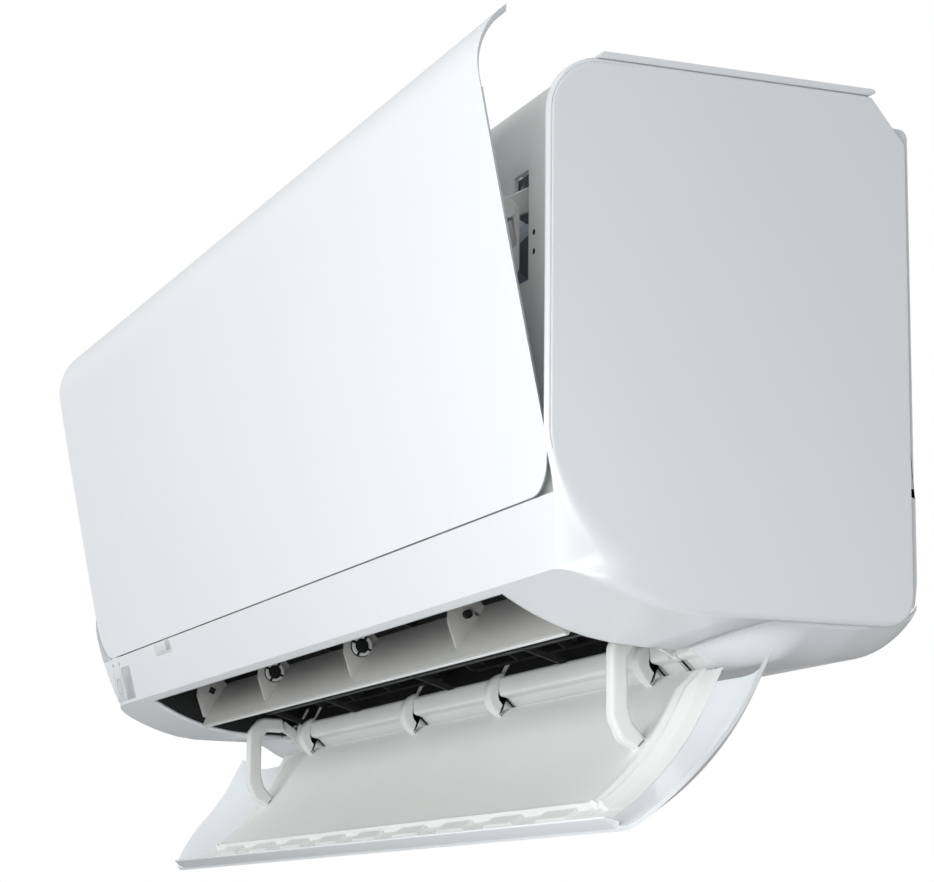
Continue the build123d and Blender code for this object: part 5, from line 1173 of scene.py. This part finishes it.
@dataclass
class Display:
    """Inlays on the lower strip: window with its round lamp, grey half, two lamps, receiver lens."""
    low: tuple = (-191.4, -109.8)
    slope: float = 0.268
    height: float = 34.3
    window_x: float = -395.0
    shift: float = 12.6
    # width, height, corner radius and how far it stands off
    pane: tuple = (24.8, 24.0, 1.5, 0.25)
    receiver_x: float = -271.0

    def on_strip(self, x: Array, up: Array, proud: Array) -> Array:
        """Points on the strip: up is the height above its lower edge along Z, proud stands off it."""
        n = math.hypot(1.0, self.slope)
        y = self.low[0] - self.slope * up - proud / n
        z = self.low[1] + up - proud * self.slope / n
        return np.stack([x + 0 * y, y, z], axis=-1)

    def tile(self, x: float, up: float, w: float, h: float, r: float, proud: float,
             crown: float = 0.0) -> tuple:
        """Rounded tile on the strip.

        Args:
            x: centre along the width.
            up: centre above the strip's lower edge.
            w: width.
            h: height.
            r: corner radius.
            proud: how far it stands off the strip.
            crown: extra rise of its middle.

        Returns:
            Rings of a rounded rectangle, drawn in by a quarter circle towards the top.
        """
        loop = rounded([(-w / 2, -h / 2), (w / 2, -h / 2), (w / 2, h / 2), (-w / 2, h / 2)], [r] * 4)
        rings = []
        for inset, rise in ((0, -0.6), (0, proud * 0.5), (0.1, proud * 0.85), (0.25, proud),
                            (0.3 * w, proud + crown)):
            scale = np.array([1 - 2 * inset / w, 1 - 2 * min(inset, 0.3 * h) / h])
            p = loop * scale
            rings.append(self.on_strip(x + p[:, 0], up + p[:, 1], np.full(len(p), rise)))
        return rings_solid(np.stack(rings))

    def ring(self, x: float, up: float, r: float, width: float, proud: float) -> tuple:
        """Flat ring standing a little off the strip."""
        a = np.linspace(0, 2 * math.pi, 40, endpoint=False)
        rows = []
        for rr, rise in ((r, -0.2), (r, proud), (r - width, proud), (r - width, -0.2)):
            rows.append(self.on_strip(x + rr * np.cos(a), up + rr * np.sin(a), np.full(40, rise)))
        return closed_ring(np.stack(rows))

    def build(self) -> list:
        """Meshes of the inlays, each in place of its CAD node."""
        up = 0.42 * self.height
        left, right = self.window_x - self.shift, self.window_x + self.shift
        window, screen = self.tile(left, up, *self.pane), self.tile(right, up, *self.pane)
        lamps = joined([self.tile(self.window_x + e, 0.87 * self.height, 3.2, 3.2, 1.55, 0.3, 0.3)
                        for e in (-19, -1)])
        lens = self.tile(self.receiver_x, 0.86 * self.height, 44, 9, 4, 0.2, 0.4)
        eye = self.tile(self.receiver_x + 14, 0.88 * self.height, 12, 7, 3, 0.55, 0.1)
        ring = self.ring(left, up - 1, 6.0, 0.8, 0.4)
        rows = (
            ("strip_window", window, WINDOW_WHITE, "clear_window", "display_window"),
            ("strip_screen", screen, WINDOW_GREY, "smoke_window", "display_screen"),
            ("strip_lamps", lamps, WINDOW_GREY, "clear_window", "lamp_lenses"),
            ("strip_receiver", lens, WINDOW_WHITE, "smoke_window", "receiver_lens"),
            ("strip_receiver_eye", eye, WINDOW_GREY, "smoke_window", ""),
            ("strip_lamp_ring", ring, WINDOW_GREY, "smoke_window", ""))
        out = []
        for name, part, finish, slot, node in rows:
            obj = build(name, part)
            dress(obj, finish, "unit")
            if node:
                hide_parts(node)
            out.append(obj)
        return out


# ------------------------------------------------------------------ intake panel
@dataclass
class IntakePanel:
    """Large front panel: a thin bowed skin with a curled brow, a rim and two hinge plates."""
    hinge: tuple = (-190.0, -70.0)
    opened: float = 9.5
    half: float = 441.0
    thick: float = 2.8
    bottom: float = -72.6
    corner: float = 30.0
    # (y, z) of three places on the outer face, then the curl's centre and radius
    foot: tuple = (-200.8, -75.5)
    middle: tuple = (-205.4, 24.75)
    brow: tuple = (-209.2, 133.0)
    curl: tuple = (-171.3, 135.0, 37.9)

    def curve(self, depth: float, count: int = 60) -> Array:
        """Side-view curve at a depth: an arc through three places, then the curl of R37.9.

        Args:
            depth: depth behind the outer face in mm.
            count: points on the long arc.

        Returns:
            (n, 2) points from the foot to the curl's end, in the closed pose.
        """
        a, b, c = (np.array([y + depth, z]) for y, z in (self.foot, self.middle, self.brow))
        # centre of the circle through a, b and c, from the two chords' bisectors
        m = np.array([b - a, c - b])
        rhs = np.array([(b @ b - a @ a) / 2, (c @ c - b @ b) / 2])
        centre = np.linalg.solve(m, rhs)
        r = float(np.linalg.norm(a - centre))
        t0 = math.atan2(a[1] - centre[1], a[0] - centre[0])
        t1 = math.atan2(c[1] - centre[1], c[0] - centre[0])
        turn = math.remainder(t1 - t0, 2 * math.pi)
        t = t0 + turn * np.linspace(0, 1, count)
        long = np.stack([centre[0] + r * np.cos(t), centre[1] + r * np.sin(t)], axis=1)
        curl = arc(self.curl[:2], self.curl[2] - depth, 181.0, 117.0, 26)
        return np.concatenate([long[:-1], curl])

    def half_at(self, z: Array, inset: float = 0.0) -> Array:
        """Half width at a height, narrowed by the round lower corners."""
        r = self.corner - inset
        rise = np.clip(z - (self.bottom + inset), 0, r)
        return self.half - inset - r + np.sqrt(np.maximum(r * r - (r - rise) ** 2, 0))

    def sheet(self) -> tuple:
        """Skin between two depths: X is a share of the half width, 5 mm less on the inner face."""
        rise = np.array([0, .15, .6, 1.3, 2.4, 3.8, 5.6, 8, 11, 14.5, 18.5, 23, 28, 30, 34, 42])

        def rows(line: Array) -> Array:
            """Places along a side-view curve: close at the foot, even above, then the curl's own."""
            s = length_along(line)
            z_s = np.interp(self.bottom + rise, line[:60, 1], s[:60])
            upper = np.linspace(0, 1, 46) * (s[58] - z_s[-1]) + z_s[-1]
            where = np.concatenate([z_s[:-1], upper, s[59:]])
            return np.stack([np.interp(where, s, line[:, 0]), np.interp(where, s, line[:, 1])], axis=1)
        grids = []
        t = np.sin(np.linspace(-math.pi / 2, math.pi / 2, 61) * 0.96) / math.sin(math.pi / 2 * 0.96)
        for depth, inset in ((0.0, 0.0), (self.thick, 5.0)):
            prof = rows(self.curve(depth))
            x = t[None, :] * (self.half_at(prof[:, 1]) - inset)[:, None]
            grids.append(np.stack(np.broadcast_arrays(x, prof[:, :1], prof[:, 1:]), axis=-1))
        return sheet_solid(*grids)

    def rim(self) -> tuple:
        """Stiffening rim: a small rectangle carried down one side, along the foot and up the other."""
        def loop(inset: float) -> Array:
            """Front-view line at an inset: down one side, round both lower corners and up."""
            r = self.corner - inset
            h = self.half - inset
            low = self.bottom + inset
            a = np.radians(np.linspace(180, 270, 12))
            left = np.stack([-(h - r) + r * np.cos(a), low + r + r * np.sin(a)], axis=1)
            right = left[::-1] * [-1, 1]
            side = np.linspace(self.brow[1] - 4, low + r + 1, 24)
            return np.concatenate([np.stack([np.full(24, -h), side], 1), left, right,
                                   np.stack([np.full(24, h), side[::-1]], 1)])
        line = self.curve(0.0)
        rings = []
        low, high = self.thick - 0.3, self.thick + 2.0
        for inset, depth in ((8.0, low), (8.0, high), (10.0, high), (10.0, low)):
            p = loop(inset)
            y = np.interp(p[:, 1], line[:60, 1], line[:60, 0]) + depth
            rings.append(np.stack([p[:, 0], y, p[:, 1]], axis=-1))
        return rings_solid(np.stack(rings, axis=1))

    def plates(self) -> tuple:
        """Hinge plates and pins at both ends."""
        y, z = self.hinge
        y_in = -200.6 + self.thick
        loop = rounded([(y_in - 0.6, z - 2.5), (y_in - 0.6, z + 14), (y, z + 3.6), (y + 3.8, z),
                        (y, z - 3.4)], [0, 0, 2, 3.4, 2])
        parts = [bar(loop, 397, 403, 0.6), rod(self.hinge, 2.0, 402, 408.3, 0.4)]
        return joined(parts + [mirror_x(p) for p in parts])

    def build(self) -> list:
        """Panel pieces, swung open to the resting pose."""
        out = []
        for name, part, width in (("panel_skin", self.sheet(), 0.7), ("panel_rim", self.rim(), 0.3),
                                  ("panel_hinges", self.plates(), 0.0)):
            pts, quads, caps = part
            obj = build(name, (swing(pts, self.hinge, self.opened), quads, caps))
            if width:
                soften(obj, width, 3)
            dress(obj, GLOSS_ABS, "panel")
            out.append(obj)
        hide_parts("intake_panel")
        return out


@dataclass
class PanelDrive:
    """Cranks, their pins and the slotted plates that push the panel out."""
    axis: tuple = (-178.0, 92.0)
    length: float = 31.3
    rest: float = 208.0
    turn: float = 56.5
    hinge: tuple = (-190.0, -70.0)
    opened: float = 9.5

    def pin_at(self, degrees: float) -> tuple:
        """(y, z) of the crank's pin when the crank points this way."""
        a = math.radians(degrees)
        return self.axis[0] + self.length * math.cos(a), self.axis[1] + self.length * math.sin(a)

    def crank(self) -> tuple:
        """Crank of the right end: a bar whose outline wraps two circles, with a headed pin."""
        pin = self.pin_at(self.rest)
        outline = np.concatenate([arc(self.axis, 6.6, self.rest - 260, self.rest - 100, 16),
                                  arc(pin, 5.5, self.rest - 95, self.rest + 95, 16)])
        arm = bar(outline, 377.25, 382.75, 0.9)
        boss = rod(self.axis, 4.2, 382.2, 384.6, 0.6)
        shank = rod(pin, 3.0, 382.5, 387.6, 0.2)
        head = rod(pin, 5.2, 387.35, 388.75, 0.5, 36)
        return joined([arm, boss, shank, head])

    def bracket(self) -> tuple:
        """Slotted plate of the right end, with a turned foot against the panel."""
        def turned(points: Sequence, degrees: float) -> Array:
            """Side-view points turned with the panel about its hinge."""
            yz = np.asarray(points, float).reshape(-1, 2)
            return swing(np.insert(yz, 0, 0.0, axis=1), self.hinge, degrees)[:, 1:]
        a = turned(self.pin_at(self.rest), 0.0)[0]
        b = turned(self.pin_at(self.rest + self.turn), self.opened)[0]
        panel = IntakePanel()
        face = turned(panel.curve(panel.thick - 0.3)[:60], self.opened)
        high, low = a[1] + 2, a[1] - 33
        foot = face[(face[:, 1] > low) & (face[:, 1] < high)]
        corners = [(a[0] - 8.5, high), (a[0], a[1] + 9), (a[0] + 8, high), (a[0] + 8, low),
                   (foot[0, 0] + 0.2, low), *foot]
        outline = rounded(corners, [2, 6, 6, 3] + [0] * (len(corners) - 4))
        lean = math.degrees(math.atan2(b[1] - a[1], b[0] - a[0]))
        slot = np.concatenate([arc(a, 3.55, lean + 90, lean + 270, 12),
                               arc(b, 3.55, lean - 90, lean + 90, 12)])
        return pierced(outline, [slot], 383.95, 386.95, 0.5)

    def build(self) -> list:
        """Both cranks on their bodies and both plates on the panel."""
        out = []
        for side, tag in ((1, "right"), (-1, "left")):
            crank, plate = self.crank(), self.bracket()
            if side < 0:
                crank, plate = mirror_x(crank), mirror_x(plate)
            arm = build("crank_arm_" + tag, crank)
            dress(arm, ACETAL, "crank_" + tag)
            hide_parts("panel_crank_" + tag)
            link = build("panel_link_" + tag, plate)
            dress(link, ACETAL, "panel")
            out += [arm, link]
        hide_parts("panel_brackets")
        return out


# ------------------------------------------------------------------ air flap
@dataclass
class Flap:
    """Air flap: crowned skin, liner with its pads, four hooks and two elbow arms."""
    axis: tuple = (-78.0, -137.0)
    opened: float = 62.8
    half: float = 440.0
    thick: float = 2.2
    hinge_y: float = -84.0
    free: tuple = (-193.8, -122.8)
    corner: tuple = (-146.0, -147.0)
    bend: float = 150.0
    crown: float = 11.0
    run: float = 45.0
    plan_r: float = 48.0
    free_y: float = -196.8
    pitch: float = 74.0

    def line(self) -> tuple:
        """Side-view line of the closed flap's outer face.

        Returns:
            Points, unit normals towards the inside, and arc lengths: level from the hinge edge, an arc
            of R150, then straight to 1 mm past the free edge.
        """
        beta = math.atan2(self.free[1] - self.corner[1], self.corner[0] - self.free[0])
        cut = self.bend * math.tan(beta / 2)
        centre = (self.corner[0] + cut, self.corner[1] + self.bend)
        flat = np.stack([np.linspace(self.hinge_y, centre[0], 12)[:-1], np.full(11, self.corner[1])], 1)
        bow = arc(centre, self.bend, -90, -90 - math.degrees(beta), 40)
        end = np.array(self.free) + np.array([-math.cos(beta), math.sin(beta)])
        last = bow[-1] + (end - bow[-1]) * np.linspace(0, 1, 10)[1:, None]
        pts = np.concatenate([flat, bow, last])
        s = length_along(pts)
        d = np.stack([np.gradient(pts[:, 0], s), np.gradient(pts[:, 1], s)], 1)
        n = np.stack([d[:, 1], -d[:, 0]], 1)
        return pts, n / np.linalg.norm(n, axis=1, keepdims=True), s

    def rise(self, x: Array) -> Array:
        """Crown of the ends: an arc over the last 45 mm."""
        r = (self.run ** 2 + self.crown ** 2) / (2 * self.crown)
        over = np.clip(np.abs(x) - (self.half - self.run), 0, self.run)
        return r - np.sqrt(r * r - over ** 2)

    def place(self, x: Array, s: Array, lift: Union[float, Array]) -> Array:
        """Points at a width, a length along the line and a lift off the outer face, swung open."""
        pts, n, length = self.line()
        off = lift + self.rise(x)
        y = np.interp(s, length, pts[:, 0]) + np.interp(s, length, n[:, 0]) * off
        z = np.interp(s, length, pts[:, 1]) + np.interp(s, length, n[:, 1]) * off
        return swing(np.stack([x, y, z], axis=-1), self.axis, self.opened)

    def skin(self) -> tuple:
        """Outer skin: between the set-back hinge edge and the round free corners."""
        pts, _, length = self.line()
        tip = np.array([0, .08, .3, .7, 1.2, 1.9, 2.8, 4, 5.5, 7.5, 10, 13, 16.5, 20.5, 25, 30, 36,
                        42, 48, 55, 64, 74, 84, 88, 91, 93.3, 94.5, 97, 105, 125, 160, 205, 255,
                        305, 350, 400])
        x = self.half - tip
        x = np.concatenate([-x, [0], x[::-1]])
        a = np.abs(x)
        start = np.interp(a, [0, 346.7, 352, 426, self.half], [0, 0, 10, 11, 6])
        over = np.clip(a - (self.half - self.plan_r), 0, self.plan_r)
        edge = self.free_y + self.plan_r - np.sqrt(self.plan_r ** 2 - over ** 2)
        order = np.argsort(pts[:, 0])
        stop = np.minimum(np.interp(edge, pts[order, 0], length[order]), length[-1])
        t = np.linspace(0, 1, 46)[:, None]
        s = start[None] + t * (stop - start)[None]
        gx = np.broadcast_to(x, s.shape)
        return sheet_solid(self.place(gx, s, 0.0), self.place(gx, s, self.thick))

    def nose(self) -> tuple:
        """Raised nose along the free edge, drawn closed and swung open."""
        y, z = self.free
        loop = rounded([(y - 0.3, z + 0.6), (y + 0.9, z + 10.8), (y + 2.3, z + 10.6),
                        (y + 4.0, z + 2.0)], [0.6, 0.6, 0.6, 0.8])
        pts, quads, caps = bar(loop, -391, 391, 0.6)
        return swing(pts, self.axis, self.opened), quads, caps

    def liner(self) -> tuple:
        """Liner as a height over the skin.

        Returns:
            A shell whose lift is a plateau of 7 mm with a bead and a step before the free edge, nine
            raised pads on the step, double ribs at both ends, and edges that fall to the skin.
        """
        _, _, length = self.line()
        total = length[-1] - 1.0
        pads = np.arange(-4, 5) * self.pitch
        ribs = np.array([322, 331, 332.3, 333.5, 335, 336.5, 337.8, 339, 341, 342.3, 343.5, 344.8,
                         346, 347.5, 349, 352, 360, 366, 368.6])
        x = np.concatenate([(pads[:, None] + [-21, -20, -19, 0, 19, 20, 21]).ravel(),
                            pads[:-1] + self.pitch / 2, -ribs, ribs])
        x = np.unique(np.round(x, 3))
        cut = np.array([4.6, 5.4, 6.4, 7.6, 8.3, 9, 12, 15, 15.7, 16.1, 16.8, 17.5, 18.3, 19.2, 20.4,
                        22, 26, 34, 45, 58, 72, 86, 100, 112, 122, 130, 134, 136, 137.3, 138])
        cut = cut[cut < total - 2.0]
        cut = np.append(cut, total - 2.0)
        gx, gc = np.meshgrid(x, cut, indexing="ij")
        base = np.interp(gc, [4.6, 6.4, 16.1, 17.0, 18.3, 19.6, 21],
                         [2.35, 4.3, 4.4, 7.0, 7.7, 7.1, 7.0])
        a, from_pad = np.abs(gx), np.abs(gx - np.round(gx / self.pitch) * self.pitch)
        pad = (from_pad < 20.1) & (a < 320) & (gc > 8.2) & (gc < 15.8)
        base = base + 1.9 * pad
        end = np.interp(a, [0, 331, 333.5, 336.5, 339, 341, 343.5, 346, 349, 352, 366, 368.6],
                        [1, 1, 1.22, 1.18, .72, .72, 1.1, 1.05, .3, .16, .1, 0.02])
        s = total - gc
        back = np.interp(s, [2, 3.4, 5], [0.05, 0.9, 1])
        lift = 2.3 + (base - 2.3) * end * back
        return sheet_solid(self.place(gx, s, lift), self.place(gx, s, 2.25))

    def limb(self, x: float, outline: Array, web: Array) -> tuple:
        """Well rounded body of a hook or arm, its eye on the pin, and the thin web between them."""
        return joined([bar(outline, x - 4.5, x + 4.5, 2.2, 5),
                       rod(self.axis, 3.2, x - 2.5, x + 2.5, 0.4), bar(web, x - 1.5, x + 1.5, 0.3)])

    def hook(self, x: float) -> tuple:
        """C-shaped hook: a half ring whose section is well rounded, with its eye on the pin."""
        c = (-74.5, -138.0)
        ring = np.concatenate([arc(c, 14.3, 66, 250, 34), arc(c, 5.2, 250, 66, 20)])
        web = rounded([(-78.5, -134.4), (-83.2, -133.0), (-84.5, -142.0), (-79.0, -140.0)],
                      [1, 0, 0, 1])
        return self.limb(x, ring, web)

    def arm(self, x: float) -> tuple:
        """Elbow arm: over the lip, straight down, then back to the liner, as a rounded bar."""
        outline = rounded([(-93, -123.2), (-110, -123.2), (-118.5, -133.5), (-118.5, -172),
                           (-113, -183.5), (-102.9, -188.9), (-97.5, -183.2), (-106.0, -174.0),
                           (-108.7, -165), (-108.7, -139), (-104.5, -133.2), (-90, -133.4)],
                          [2.5, 9, 9, 10, 8, 1.5, 1.5, 6, 8, 5, 3, 2.5], count=7)
        web = rounded([(-78, -133.9), (-91, -124.6), (-93, -132.4), (-78, -140)], [1, 1, 1, 1])
        return self.limb(x, outline, web)

    def build(self) -> list:
        """Flap pieces on the flap's body."""
        skin = build("flap_shell", self.skin())
        soften(skin, 0.6, 2, 45)
        nose = build("flap_nose", self.nose())
        liner = build("flap_tray", self.liner(), 30)
        hooks = build("flap_hook_set", joined([self.hook(x) for x in (-290, -75, 75, 290)]), 50)
        arms = build("flap_arm_pair", joined([self.arm(x) for x in (-322, 322)]), 50)
        for obj in (skin, nose):
            dress(obj, GLOSS_ABS, "flap")
        for obj in (liner, hooks, arms):
            dress(obj, INNER_WHITE, "flap")
        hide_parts("flap_skin")
        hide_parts("flap_liner")
        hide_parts("flap_hooks")
        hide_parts("flap_arms")
        return [skin, nose, liner, hooks, arms]


# ------------------------------------------------------------------ air louvre
@dataclass
class Louvre:
    """Frosted air louvre: bowed plate with a thick lower hem and five ears, and its snap rings."""
    axis: tuple = (-144.0, -103.5)
    top: tuple = (-130.0, -98.5)
    foot: tuple = (-148.5, -130.5)
    thick: float = 2.2
    half: float = 334.2
    ear_t: float = 2.4
    ear_x: float = 181.5
    end_x: float = 333.0

    def face_frame(self) -> tuple:
        """Unit directions down the plate's near face and out of it."""
        t, f = np.array(self.top), np.array(self.foot)
        along = (f - t) / np.linalg.norm(f - t)
        return along, np.array([along[1], -along[0]])

    def bow(self, share: Array) -> Array:
        """How far the plate bows out at a share of the way down: 1 mm in the middle."""
        return 4 * share * (1 - share)

    def plate(self) -> tuple:
        """Plate and hem in one outline: down the bowed face, round the thick hem, and back up."""
        along, n = self.face_frame()
        t, f = np.array(self.top), np.array(self.foot)
        share = np.linspace(0, 1, 22)
        near = t + (f - t) * share[:, None] + n * self.bow(share)[:, None]
        far = near + n * self.thick
        hem = rounded([f - along * 7.6 + n * 0.3, f - along * 6 - n * 1.6, f - n * 1.6, far[-1]],
                      [0, 1.4, 0.9, 0], closed=False)
        return bar(np.concatenate([near[:-5], hem[:-1], far[::-1]]), -self.half, self.half, 0.5)

    def hem(self) -> tuple:
        """Painted highlight along the foot: a rounded white strip that stands 0.4 mm off the thick hem,
        where the hem's edge catches the light.
        """
        along, n = self.face_frame()
        f = np.array(self.foot)
        loop = rounded([f - along * 5.4 - n * 1.3, f - along * 5.4 - n * 2.0, f - along * 0.3 - n * 2.0,
                        f + along * 0.5 + n * 0.3, f - along * 1.0 + n * 0.3], [0, 0.6, 1.0, 0.4, 0])
        return bar(loop, -self.half + 0.3, self.half - 0.3, 0.4)

    def mark(self, x: float) -> tuple:
        """Round moulding mark beside an ear: a flat ring of R9 that follows the plate's face."""
        along, n = self.face_frame()
        t, f = np.array(self.top), np.array(self.foot)
        a = np.linspace(0, 2 * math.pi, 48, endpoint=False)
        rows = []
        for r, rise in ((8.0, -0.2), (8.0, 0.25), (9.0, 0.25), (9.0, -0.2)):
            down = 19.0 + r * np.sin(a)
            bow = self.bow(down / np.linalg.norm(f - t))
            yz = t + along * down[:, None] + n * (bow - rise)[:, None]
            rows.append(np.stack([x + r * np.cos(a), yz[:, 0], yz[:, 1]], axis=-1))
        return closed_ring(np.stack(rows))

    def ear(self, x: float, holes: Sequence[tuple]) -> tuple:
        """Flat ear from the plate to the pivot, with round holes at (dy, dz, radius) from it."""
        a, f = self.axis, self.foot
        outline = rounded([(a[0] - 11.5, a[1] - 4), (a[0] - 10.5, a[1] + 11), (a[0] + 6, a[1] + 11),
                           (a[0] + 13.5, a[1] + 3), (a[0] + 4, a[1] - 14), (f[0] + 5.5, f[1] + 9),
                           (f[0] + 1.0, f[1] + 7.0), (a[0] - 6.0, a[1] - 20.0)],
                          [6, 9, 7, 0, 0, 0, 0, 2.5], count=12)
        loops = [arc((a[0] + dy, a[1] + dz), r, 0, 342, 20) for dy, dz, r in holes]
        return pierced(outline, loops, x - self.ear_t / 2, x + self.ear_t / 2, 0.45)

    def key(self, x: float) -> tuple:
        """Square end of the drive pin, turned by 22.5 degrees, on both sides of an ear."""
        x0, x1 = x - self.ear_t / 2 - 0.12, x + self.ear_t / 2 + 0.12
        return bar(arc(self.axis, 3.2, 22.5, 292.5, 4), x0, x1, 0.1, 1)

    def clip(self, x: float) -> tuple:
        """Snap ring round a pin: four ring segments."""
        x0 = x + self.ear_t / 2 + 0.9
        parts = []
        for k in range(4):
            mid = 90.0 * k + 20
            seg = np.concatenate([arc(self.axis, 6.6, mid - 36, mid + 36, 12),
                                  arc(self.axis, 4.7, mid + 34, mid - 34, 10)])
            parts.append(bar(seg, x0, x0 + 2.4, 0.35))
        return joined(parts)

    def washer(self, x: float) -> tuple:
        """Dark washer between an ear and its snap ring, with the shaft's round end."""
        x0 = x + self.ear_t / 2 + 0.35
        return joined([bar(arc(self.axis, 7.2, 0, 350, 40), x0, x0 + 0.5, 0.1),
                       rod(self.axis, 3.6, x0 + 0.4, x0 + 2.2, 0.4, 36)])

    def build(self) -> list:
        """Louvre on its body, and the clips, which stay on the hangers' pins."""
        bore = (0.0, 0.0, 2.6)
        ears = [self.ear(-self.end_x, []), self.ear(self.end_x, []), self.ear(-self.ear_x, [bore]),
                self.ear(0.0, [bore]), self.ear(self.ear_x, [bore, (-0.5, 7.2, 1.6), (6.6, 1.0, 1.6)])]
        pins = [rod(self.axis, 2.5, a, b, 0.3) for a, b in ((334, 344), (-344, -334))]
        plate = build("louvre_plate", joined([self.plate()] + ears + pins), 40)
        dress(plate, FROSTED, "louvre")
        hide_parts("air_louvre")
        clips = build("snap_rings", joined([self.clip(-self.ear_x), self.clip(0.0)]))
        dress(clips, INNER_WHITE, "unit")
        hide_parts("louvre_clips")
        washers = build("snap_washers", joined([self.washer(-self.ear_x), self.washer(0.0)]))
        dress(washers, DUCT_BLACK, "unit")
        # White gloss strip on the frosted hem: painted highlight where the hem's edge catches the
        # light.
        hem = build("louvre_hem_highlight", self.hem())
        dress(hem, GLOSS_ABS, "louvre")
        marks = build("louvre_marks", joined([self.mark(x) for x in (-290, -138, 42, 216)]))
        dress(marks, FROSTED, "louvre")
        keys = build("louvre_keys", joined([self.key(x) for x in (-self.end_x, self.end_x)]))
        dress(keys, DUCT_BLACK, "louvre")
        return [plate, clips, washers, hem, marks, keys]


# ------------------------------------------------------------------ studio
@dataclass
class Studio:
    """Pale floor and backdrop, soft lamps, and the camera at the photograph's angle."""
    camera_mm: tuple = (1622.99, -711.41, -294.24)
    forward: tuple = (-0.91450672, 0.35971881, 0.18514812)
    up: tuple = (0.16833143, -0.07782794, 0.98265322)
    lens: float = 104.97
    floor_z: float = -1.2

    def camera(self) -> None:
        """Camera from its position, its forward direction and its up direction."""
        cam = bpy.data.cameras.new("camera")
        cam.lens = self.lens
        cam.sensor_width = 36.0
        cam.clip_start, cam.clip_end = 0.05, 60.0
        obj = bpy.data.objects.new("camera", cam)
        f = Vector(self.forward).normalized()
        u = Vector(self.up)
        u = (u - f * u.dot(f)).normalized()
        r = f.cross(u)
        m = Matrix((r, u, -f)).transposed().to_4x4()
        m.translation = Vector(self.camera_mm) * MM
        obj.matrix_world = m
        bpy.context.scene.collection.objects.link(obj)
        bpy.context.scene.camera = obj

    def lamp(self, name: str, place: tuple, size: float, watts: float) -> None:
        """Square soft lamp at a place, turned towards the object."""
        light = bpy.data.lights.new(name, "AREA")
        light.size, light.energy = size, watts
        obj = bpy.data.objects.new(name, light)
        obj.location = place
        obj.rotation_mode = "QUATERNION"
        obj.rotation_quaternion = (Vector((0, -0.1, 0)) - Vector(place)).to_track_quat("-Z", "Y")
        bpy.context.scene.collection.objects.link(obj)

    def backdrop(self) -> bpy.types.Object:
        """Pale floor: mostly its own white to the camera, so that it keeps a soft shadow."""
        s = 30000.0
        pts = np.array([[-s, -s, 0], [s, -s, 0], [s, s, 0], [-s, s, 0]], float)
        pts[:, 2] = self.floor_z * 1000
        floor = make_mesh("studio_floor", pts, np.array([[0, 1, 2, 3]]))
        mat = bpy.data.materials.new("pale_studio_paper")
        mat.use_nodes = True
        tree = mat.node_tree
        shader = tree.nodes["Principled BSDF"]
        shader.inputs["Base Color"].default_value = linear("#B4B4B4")
        shader.inputs["Roughness"].default_value = 0.9
        glow = add(tree, "ShaderNodeEmission", {"Color": (1, 1, 1, 1), "Strength": 1.0})
        path = add(tree, "ShaderNodeLightPath")
        share = add(tree, "ShaderNodeMath", {0: path.outputs["Is Camera Ray"], 1: 0.75},
                    operation="MULTIPLY")
        pick = add(tree, "ShaderNodeMixShader", {0: share.outputs[0], 1: shader.outputs[0],
                                                 2: glow.outputs[0]})
        tree.links.new(pick.outputs[0], tree.nodes["Material Output"].inputs["Surface"])
        floor.data.materials.append(mat)
        return floor

    def world(self) -> None:
        """White surroundings: plain light for the object, white to the camera and reflections."""
        world = bpy.data.worlds.new("studio")
        world.use_nodes = True
        tree = world.node_tree
        tree.nodes.clear()
        path = add(tree, "ShaderNodeLightPath")
        seen = add(tree, "ShaderNodeMath", {0: path.outputs["Is Camera Ray"],
                                            1: path.outputs["Is Transmission Ray"]},
                   operation="MAXIMUM")
        dim = add(tree, "ShaderNodeBackground", {"Color": (1, 1, 1, 1), "Strength": 0.55})
        full = add(tree, "ShaderNodeBackground", {"Color": (1, 1, 1, 1), "Strength": 1.0})
        mix = add(tree, "ShaderNodeMixShader", {0: seen.outputs[0], 1: dim.outputs[0],
                                                2: full.outputs[0]})
        out = add(tree, "ShaderNodeOutputWorld")
        tree.links.new(mix.outputs[0], out.inputs["Surface"])
        bpy.context.scene.world = world

    def build(self) -> None:
        """Camera, lamps, floor and surroundings."""
        self.camera()
        self.world()
        self.backdrop()
        self.lamp("lamp_front", (-1.2, -3.4, 0.6), 2.4, 36.0)
        self.lamp("lamp_top", (0.3, -1.2, 3.2), 2.6, 25.0)
        self.lamp("lamp_low", (0.5, -2.2, -0.05), 1.3, 10.0)
        self.lamp("lamp_side", (0.95, -0.75, -0.35), 0.6, 3.5)
        self.lamp("lamp_back", (0.75, 2.4, 0.6), 1.2, 9.0)
        bpy.context.scene.view_settings.view_transform = "Standard"


def main() -> None:
    """Builds the studio and every sub-assembly."""
    logging.basicConfig(level=logging.INFO, format="%(name)s %(message)s")
    dress_cad_nodes()
    Studio().build()
    for assembly in (Casing(), TopPlate(), Chassis(), Display(), IntakePanel(), PanelDrive(),
                     Flap(), Louvre()):
        for piece in assembly.build():
            LOG.info("%s: %s, %d faces", type(assembly).__name__, piece.name, len(piece.data.polygons))


if __name__ == "__main__":
    main()
